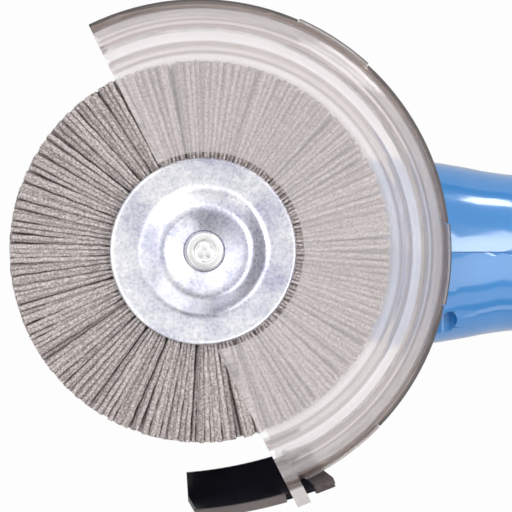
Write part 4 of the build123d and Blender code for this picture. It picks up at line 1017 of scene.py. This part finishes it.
@dataclass
class CadNodes:
    """The CAD nodes with their finishes, and smooth-shaded copies of those that show.

    The guard ends on cad_end in the CAD, and its copies on low_end and high_end, as in the photograph.
    """

    merge_gap: float = 0.003 * MM
    smooth_angle: float = 28.0
    housing_angle: float = 16.0
    seam_reach: float = 6.6 * MM
    seam_tilt: Span = (0.043, 0.167)
    seam_facing: float = 0.9
    middle_z: float = 30 * MM
    cad_end: GuardEnd = GuardEnd(-66.3, 2.45 * MM)
    low_end: GuardEnd = GuardEnd(-62.94, 10.27 * MM)
    high_end: GuardEnd = GuardEnd(-63.32, 1.45 * MM)
    end_reach: float = math.radians(14)
    guard_shell: tuple[str, ...] = ("guard_front", "guard_back", "guard_edging")
    finishes: dict[str, tuple[str, ...]] = field(
        default_factory=lambda: {
            "blue_housing": ("housing_left", "housing_right"),
            "cast_head": ("gear_housing", "spindle_retainer"),
            "turned_steel": (
                "spindle", "spindle_bearing", "spindle_flange", "front_bearing", "rear_bearing",
                "armature_shaft", "pinion", "pinion_nut", "crown_gear", "lock_spring",
            ),
            "pressed_steel": (
                "guard_clamp", "guard_rivets", "clamp_screw",
                "gear_housing_screws", "retainer_screws", "housing_screws",
            ),
            "zinc_plate": ("brush_back_plate",),
            "clear_polycarbonate": ("guard_front",),
            "frosted_polycarbonate": ("guard_back",),
            "dark_edging": ("guard_edging",),
            "black_strip": ("deflector",),
            "strip_lip": ("deflector_lip",),
            "dark_moulding": ("lock_button", "switch_slide", "switch_unit", "fan", "air_baffle"),
            "black_rubber": ("cord_gland",),
            "pressed_carbon": ("carbon_brushes",),
            "bright_brass": ("brush_holders",),
            "sintered_bronze": ("spindle_bush",),
            "enamelled_copper": ("rotor_windings", "field_coils", "commutator"),
            "sheet_stack": ("rotor_core", "stator_core"),
        }
    )
    outside: tuple[str, ...] = (
        "housing_left", "housing_right", "gear_housing", "spindle_retainer", "spindle_flange",
        "guard_clamp", "guard_rivets", "guard_front", "guard_back", "guard_edging",
        "deflector", "deflector_lip", "brush_back_plate", "lock_button", "switch_slide", "cord_gland",
    )

    def dress(self, frame: dict, palette: Palette) -> None:
        """Give every CAD node its finish, and the outer ones a smooth copy.

        Args:
            palette: The tool's finishes.
        """
        nodes = frame["nodes"]
        for finish, names in self.finishes.items():
            for name in names:
                for slot in nodes[name].material_slots:
                    slot.material = palette[finish]
        for name in self.outside:
            self.smooth_copy(nodes[name], frame["record"])
        self.squeeze_spring(nodes["lock_spring"], frame["record"])
        LOG.info("dressed %d CAD nodes", sum(map(len, self.finishes.values())))

    def squeeze_spring(self, node: Piece, record: dict) -> None:
        """Stand a copy in for the lock's spring that shortens as the button is pressed.

        Args:
            node: The spring's CAD node.
            record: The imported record.
        """
        spring = self.smooth_copy(node, record)
        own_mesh(spring)

    def smooth_copy(self, node: Piece, record: dict) -> Piece:
        """Stand a merged, smooth-shaded copy in for a node.

        Args:
            node: The CAD node.
            record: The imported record.

        Returns:
            The copy.
        """
        name = node.name
        copy = bpy.data.objects.new(f"{name}_smooth", node.data.copy())
        bpy.context.scene.collection.objects.link(copy)
        pick(copy)
        bpy.ops.object.mode_set(mode="EDIT")
        bpy.ops.mesh.select_all(action="SELECT")
        bpy.ops.mesh.remove_doubles(threshold=self.merge_gap)
        bpy.ops.object.mode_set(mode="OBJECT")
        if name.startswith("housing"):
            smooth(copy, self.housing_angle)
            self.weigh_normals(copy)
            self.round_seam(copy)
        else:
            if name in self.guard_shell:
                self.trim_ends(copy)
            smooth(copy, self.smooth_angle)
        slot = next(part["material_slot"] for part in record["subparts"] if part["node"] == name)
        body = next(key for key, names in record["behaviour"]["bodies"].items() if name in names)
        settle(copy, Body(body), slot, node.material_slots[0].material, name)
        return copy

    def trim_ends(self, piece: Piece) -> None:
        """Slide the ends of a guard piece round the spindle to the lines that the guard ends on.

        Args:
            piece: The copy of a guard node.
        """
        for vertex in piece.data.vertices:
            r = math.hypot(vertex.co.x, vertex.co.y)
            angle = math.atan2(vertex.co.y, vertex.co.x)
            for side in (-1, 1):
                plain = self.end_angle(side, self.cad_end, r)
                wanted = self.end_angle(side, self.low_end if side < 0 else self.high_end, r)
                share = min(1.0, abs(angle - plain) / self.end_reach)
                angle += (wanted - plain) * (1 - share) ** 2 * (1 + 2 * share)
            vertex.co.x, vertex.co.y = r * math.cos(angle), r * math.sin(angle)

    def end_angle(self, side: int, end: GuardEnd, r: float) -> float:
        """Where round the spindle an end line crosses a radius.

        Args:
            side: -1 for the lower end, 1 for the upper one.
            end: The line.
            r: The radius.

        Returns:
            The angle from +X.
        """
        heading = math.radians(end.heading) + (math.pi if side > 0 else 0.0)
        return heading + side * math.asin(min(1.0, end.beyond / r))

    def round_seam(self, half: Piece) -> None:
        """Shade a housing half as a surface that falls off evenly from its seam, as a moulded half does.

        Args:
            half: The copy of the housing half.
        """
        mesh = half.data
        normals = [corner.vector.copy() for corner in mesh.corner_normals]
        low, high = self.seam_tilt
        for loop, normal in zip(mesh.loops, normals):
            place = mesh.vertices[loop.vertex_index].co
            aside = abs(place.y) / self.seam_reach
            outward = normal.z * math.copysign(1.0, place.z - self.middle_z)
            if aside < 1 and outward > self.seam_facing:
                normal.y = math.copysign(low + (high - low) * aside, place.y)
                normal.normalize()
        mesh.normals_split_custom_set(normals)

    def weigh_normals(self, half: Piece) -> None:
        """Let large faces set the shading of their corners."""
        pick(half)
        bpy.ops.object.modifier_add(type="WEIGHTED_NORMAL")
        modifier = half.modifiers[-1]
        modifier.keep_sharp = True
        bpy.ops.object.modifier_apply(modifier=modifier.name)


@dataclass
class TabEdgeShade:
    """Dark edging carried on over the guard's upper tabs as painted shade along their outer edge.

    Headings and the span of a tab are in degrees, and lengths are in millimetres.
    """

    tabs: tuple[float, ...] = (-3.1, 58.1)
    span: float = 18.75
    seat_radius: float = 74.83
    thickness: float = 0.45
    edge_fall: float = 0.15
    steps: int = 24

    def build(self, palette: Palette) -> None:
        """Model and dress the strips of painted shade.

        Args:
            palette: The tool's finishes.
        """
        low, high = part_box("guard_edging")
        strips = [self.strip(tab, low[2] / MM, high[2] / MM) for tab in self.tabs]
        trim = joined(strips, "tab_trim")
        smooth(trim)
        settle(trim, Body.GUARD, "edging_grey", palette["dark_edging"])

    def strip(self, middle: float, low: float, high: float) -> Piece:
        """One strip, spun from its section.

        Args:
            middle: Heading of the tab's middle.
            low: Height of its lower edge.
            high: Height of its upper edge.

        Returns:
            The strip.
        """
        inner, outer = self.seat_radius, self.seat_radius + self.thickness
        fall = self.edge_fall
        deselect()
        bpy.ops.mesh.primitive_plane_add(size=1.0)
        piece = bpy.context.object
        start = math.radians(middle - self.span / 2)
        corners = [(inner, low), (outer, low + fall), (outer, high - fall), (inner, high)]
        order = sorted(piece.data.vertices, key=lambda vertex: math.atan2(vertex.co.y, vertex.co.x))
        for vertex, (r, z) in zip(order, corners):
            vertex.co = (r * MM * math.cos(start), r * MM * math.sin(start), z * MM)
        bpy.ops.object.mode_set(mode="EDIT")
        spin(self.steps, -math.radians(self.span))
        return piece


@dataclass
class Lamp:
    """One soft box."""

    name: str
    place: Triple
    aim: Triple
    width: float
    length: float
    power: float

    def build(self) -> None:
        """Hang the lamp and turn it to its aim."""
        data = bpy.data.lights.new(self.name, "AREA")
        data.shape = "RECTANGLE"
        data.size = self.width
        data.size_y = self.length
        data.energy = self.power
        lamp = bpy.data.objects.new(self.name, data)
        bpy.context.scene.collection.objects.link(lamp)
        lamp.location = self.place
        heading = Vector(self.aim) - Vector(self.place)
        lamp.rotation_euler = heading.to_track_quat("-Z", "Y").to_euler()


@dataclass
class Studio:
    """White ground, soft light and the photograph's camera.

    In mirrored rays the room goes from dark to bright towards room_heading, is dimmed towards
    shade_heading, and falls to the horizon's value from the sky down. A span is one of cosines to a heading.
    """

    camera_place: Triple = (-0.0444, -0.0037, 0.5524)
    camera_aim: Triple = (0.0148, -0.0015, 0.098)
    lens: float = 109.4
    ground_size: float = 8.0
    ground_colour: tuple[float, ...] = (0.62, 0.62, 0.62, 1.0)
    ground_rough: float = 0.9
    ground_shadow: float = 0.03
    mirrored_floor: float = 0.12
    ambient: float = 0.45
    room_heading: Triple = (-0.5, 0.5, 0.7)
    room_dark: float = 0.45
    room_bright: float = 1.16
    room_span: Span = (-0.1, 0.95)
    shade_heading: Triple = (0.1, -0.46, 0.88)
    shade_span: Span = (0.92, 0.98)
    shade_left: float = 0.34
    horizon: float = 0.25
    sky_span: Span = (0.0, 0.45)
    lamps: tuple[Lamp, ...] = (
        Lamp("key_box", (-0.45, 0.6, 1.0), (0, 0, 0.08), 0.9, 0.9, 2.5),
        Lamp("fill_box", (-0.35, -0.9, 0.75), (0.1, 0, 0.06), 1.1, 1.1, 3.3),
        Lamp("slope_box", (-0.8, 0.0, 0.6), (0, 0, 0.09), 0.5, 0.6, 0.4),
        Lamp("crest_box", (0.1, 0.87, 0.58), (0, 0, 0.09), 0.5, 0.4, 0.2),
        Lamp("dish_box", (0.1, 0.47, 0.98), (0, 0, 0.09), 0.3, 0.3, 0.16),
        Lamp("rivet_box", (-0.37, 0.0, 1.0), (0, 0, 0.09), 0.3, 0.3, 0.18),
        Lamp("ridge_box", (0.52, 0.15, 0.94), (0.1, 0, 0.055), 0.26, 0.34, 1.9),
        Lamp("streak_box", (0.68, 0.8, 0.37), (0.1, 0.017, 0.053), 0.34, 0.2, 2.6),
        Lamp("side_panel", (0.48, -0.33, 0.88), (0.1, 0, 0.055), 0.5, 0.34, 1.1),
        Lamp("flank_panel", (0.46, -0.8, 0.58), (0.1, -0.01, 0.05), 0.5, 0.34, 0.55),
        Lamp("low_box", (0.56, -0.85, 0.15), (0.1, -0.02, 0.05), 0.4, 0.14, 0.3),
    )

    def build(self) -> None:
        """Set up ground, world, lamps, camera and view settings."""
        self.ground()
        self.world()
        for lamp in self.lamps:
            lamp.build()
        self.camera()
        bpy.context.scene.view_settings.view_transform = "Standard"

    def ground(self) -> None:
        """A pale floor that looks white and keeps a faint shadow."""
        deselect()
        bpy.ops.mesh.primitive_plane_add(size=self.ground_size)
        floor = bpy.context.object
        floor.name = "ground"
        sheet = MaterialSheet("white_ground")
        sheet.set(base_color=self.ground_colour, roughness=self.ground_rough)
        white = sheet.add("ShaderNodeEmission").outputs["Emission"]
        seen = self.seen(sheet, self.mirrored_floor)
        sheet.overlay(sheet.spread(seen, 0.0, 1.0 - self.ground_shadow), white)
        floor.data.materials.append(sheet.material)

    def seen(self, sheet: NodeSheet, mirrored: float) -> Socket:
        """How much of the white background a ray shows: all straight or through glass, part if mirrored.

        Light that a surface scatters towards the background through glass sees none of it.

        Args:
            sheet: Nodes of the floor or the world.
            mirrored: How much a mirrored ray shows.

        Returns:
            The value's socket.
        """
        path = sheet.add("ShaderNodeLightPath").outputs
        unscattered = sheet.spread(path["Diffuse Depth"], 1.0, 0.0)
        through = sheet.compute("MULTIPLY", path["Is Transmission Ray"], unscattered)
        straight = sheet.compute("MAXIMUM", path["Is Camera Ray"], through)
        glossy = sheet.spread(path["Is Glossy Ray"], 0.0, mirrored)
        return sheet.compute("MAXIMUM", straight, glossy)

    def world(self) -> None:
        """A white room: even light, white behind the tool, and brighter to one side in reflections."""
        world = bpy.data.worlds.new("white_room")
        bpy.context.scene.world = world
        world.use_nodes = True
        sheet = NodeSheet(world.node_tree)
        towards = self.facing(sheet, self.room_heading)
        room = sheet.spread(towards, self.room_dark, self.room_bright, self.room_span)
        shade = sheet.spread(self.facing(sheet, self.shade_heading), 1.0, self.shade_left, self.shade_span)
        sky = sheet.spread(self.facing(sheet, (0, 0, 1)), self.horizon, 1.0, self.sky_span)
        room = sheet.compute("MULTIPLY", sheet.compute("MULTIPLY", room, shade), sky)
        path = sheet.add("ShaderNodeLightPath").outputs
        unscattered = sheet.spread(path["Diffuse Depth"], 1.0, 0.0)
        glossy = sheet.compute("MULTIPLY", path["Is Glossy Ray"], unscattered)
        lit = sheet.blend(glossy, self.ambient, room)
        background = sheet.tree.nodes["Background"].inputs
        sheet.feed(background["Strength"], sheet.blend(self.seen(sheet, 0.0), lit, 1.0))
        sheet.feed(background["Color"], (1, 1, 1, 1))

    def facing(self, sheet: NodeSheet, heading: Triple) -> Socket:
        """How nearly a ray that leaves the scene follows a heading."""
        ray = sheet.add("ShaderNodeTexCoord").outputs["Generated"]
        return sheet.along(ray, Vector(heading).normalized())

    def camera(self) -> None:
        """The camera at the photograph's place, with +Y up in the picture."""
        data = bpy.data.cameras.new("photo_camera")
        data.lens = self.lens
        camera = bpy.data.objects.new("photo_camera", data)
        bpy.context.scene.collection.objects.link(camera)
        place = Vector(self.camera_place)
        ahead = (Vector(self.camera_aim) - place).normalized()
        right = ahead.cross(Vector((0, 1, 0))).normalized()
        up = right.cross(ahead)
        camera.matrix_world = Matrix.Translation(place) @ Matrix((right, up, -ahead)).transposed().to_4x4()
        bpy.context.scene.camera = camera


def main() -> None:
    """Load the frame, dress it, build the new pieces and set up the studio."""
    logging.basicConfig(level=logging.INFO, format="%(message)s")
    for obj in list(bpy.data.objects):
        bpy.data.objects.remove(obj)
    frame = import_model()
    palette = Palette()
    CadNodes().dress(frame, palette)
    TabEdgeShade().build(palette)
    BrushWheel().build(palette)
    WheelHub().build(palette)
    Studio().build()


if __name__ == "__main__":
    main()
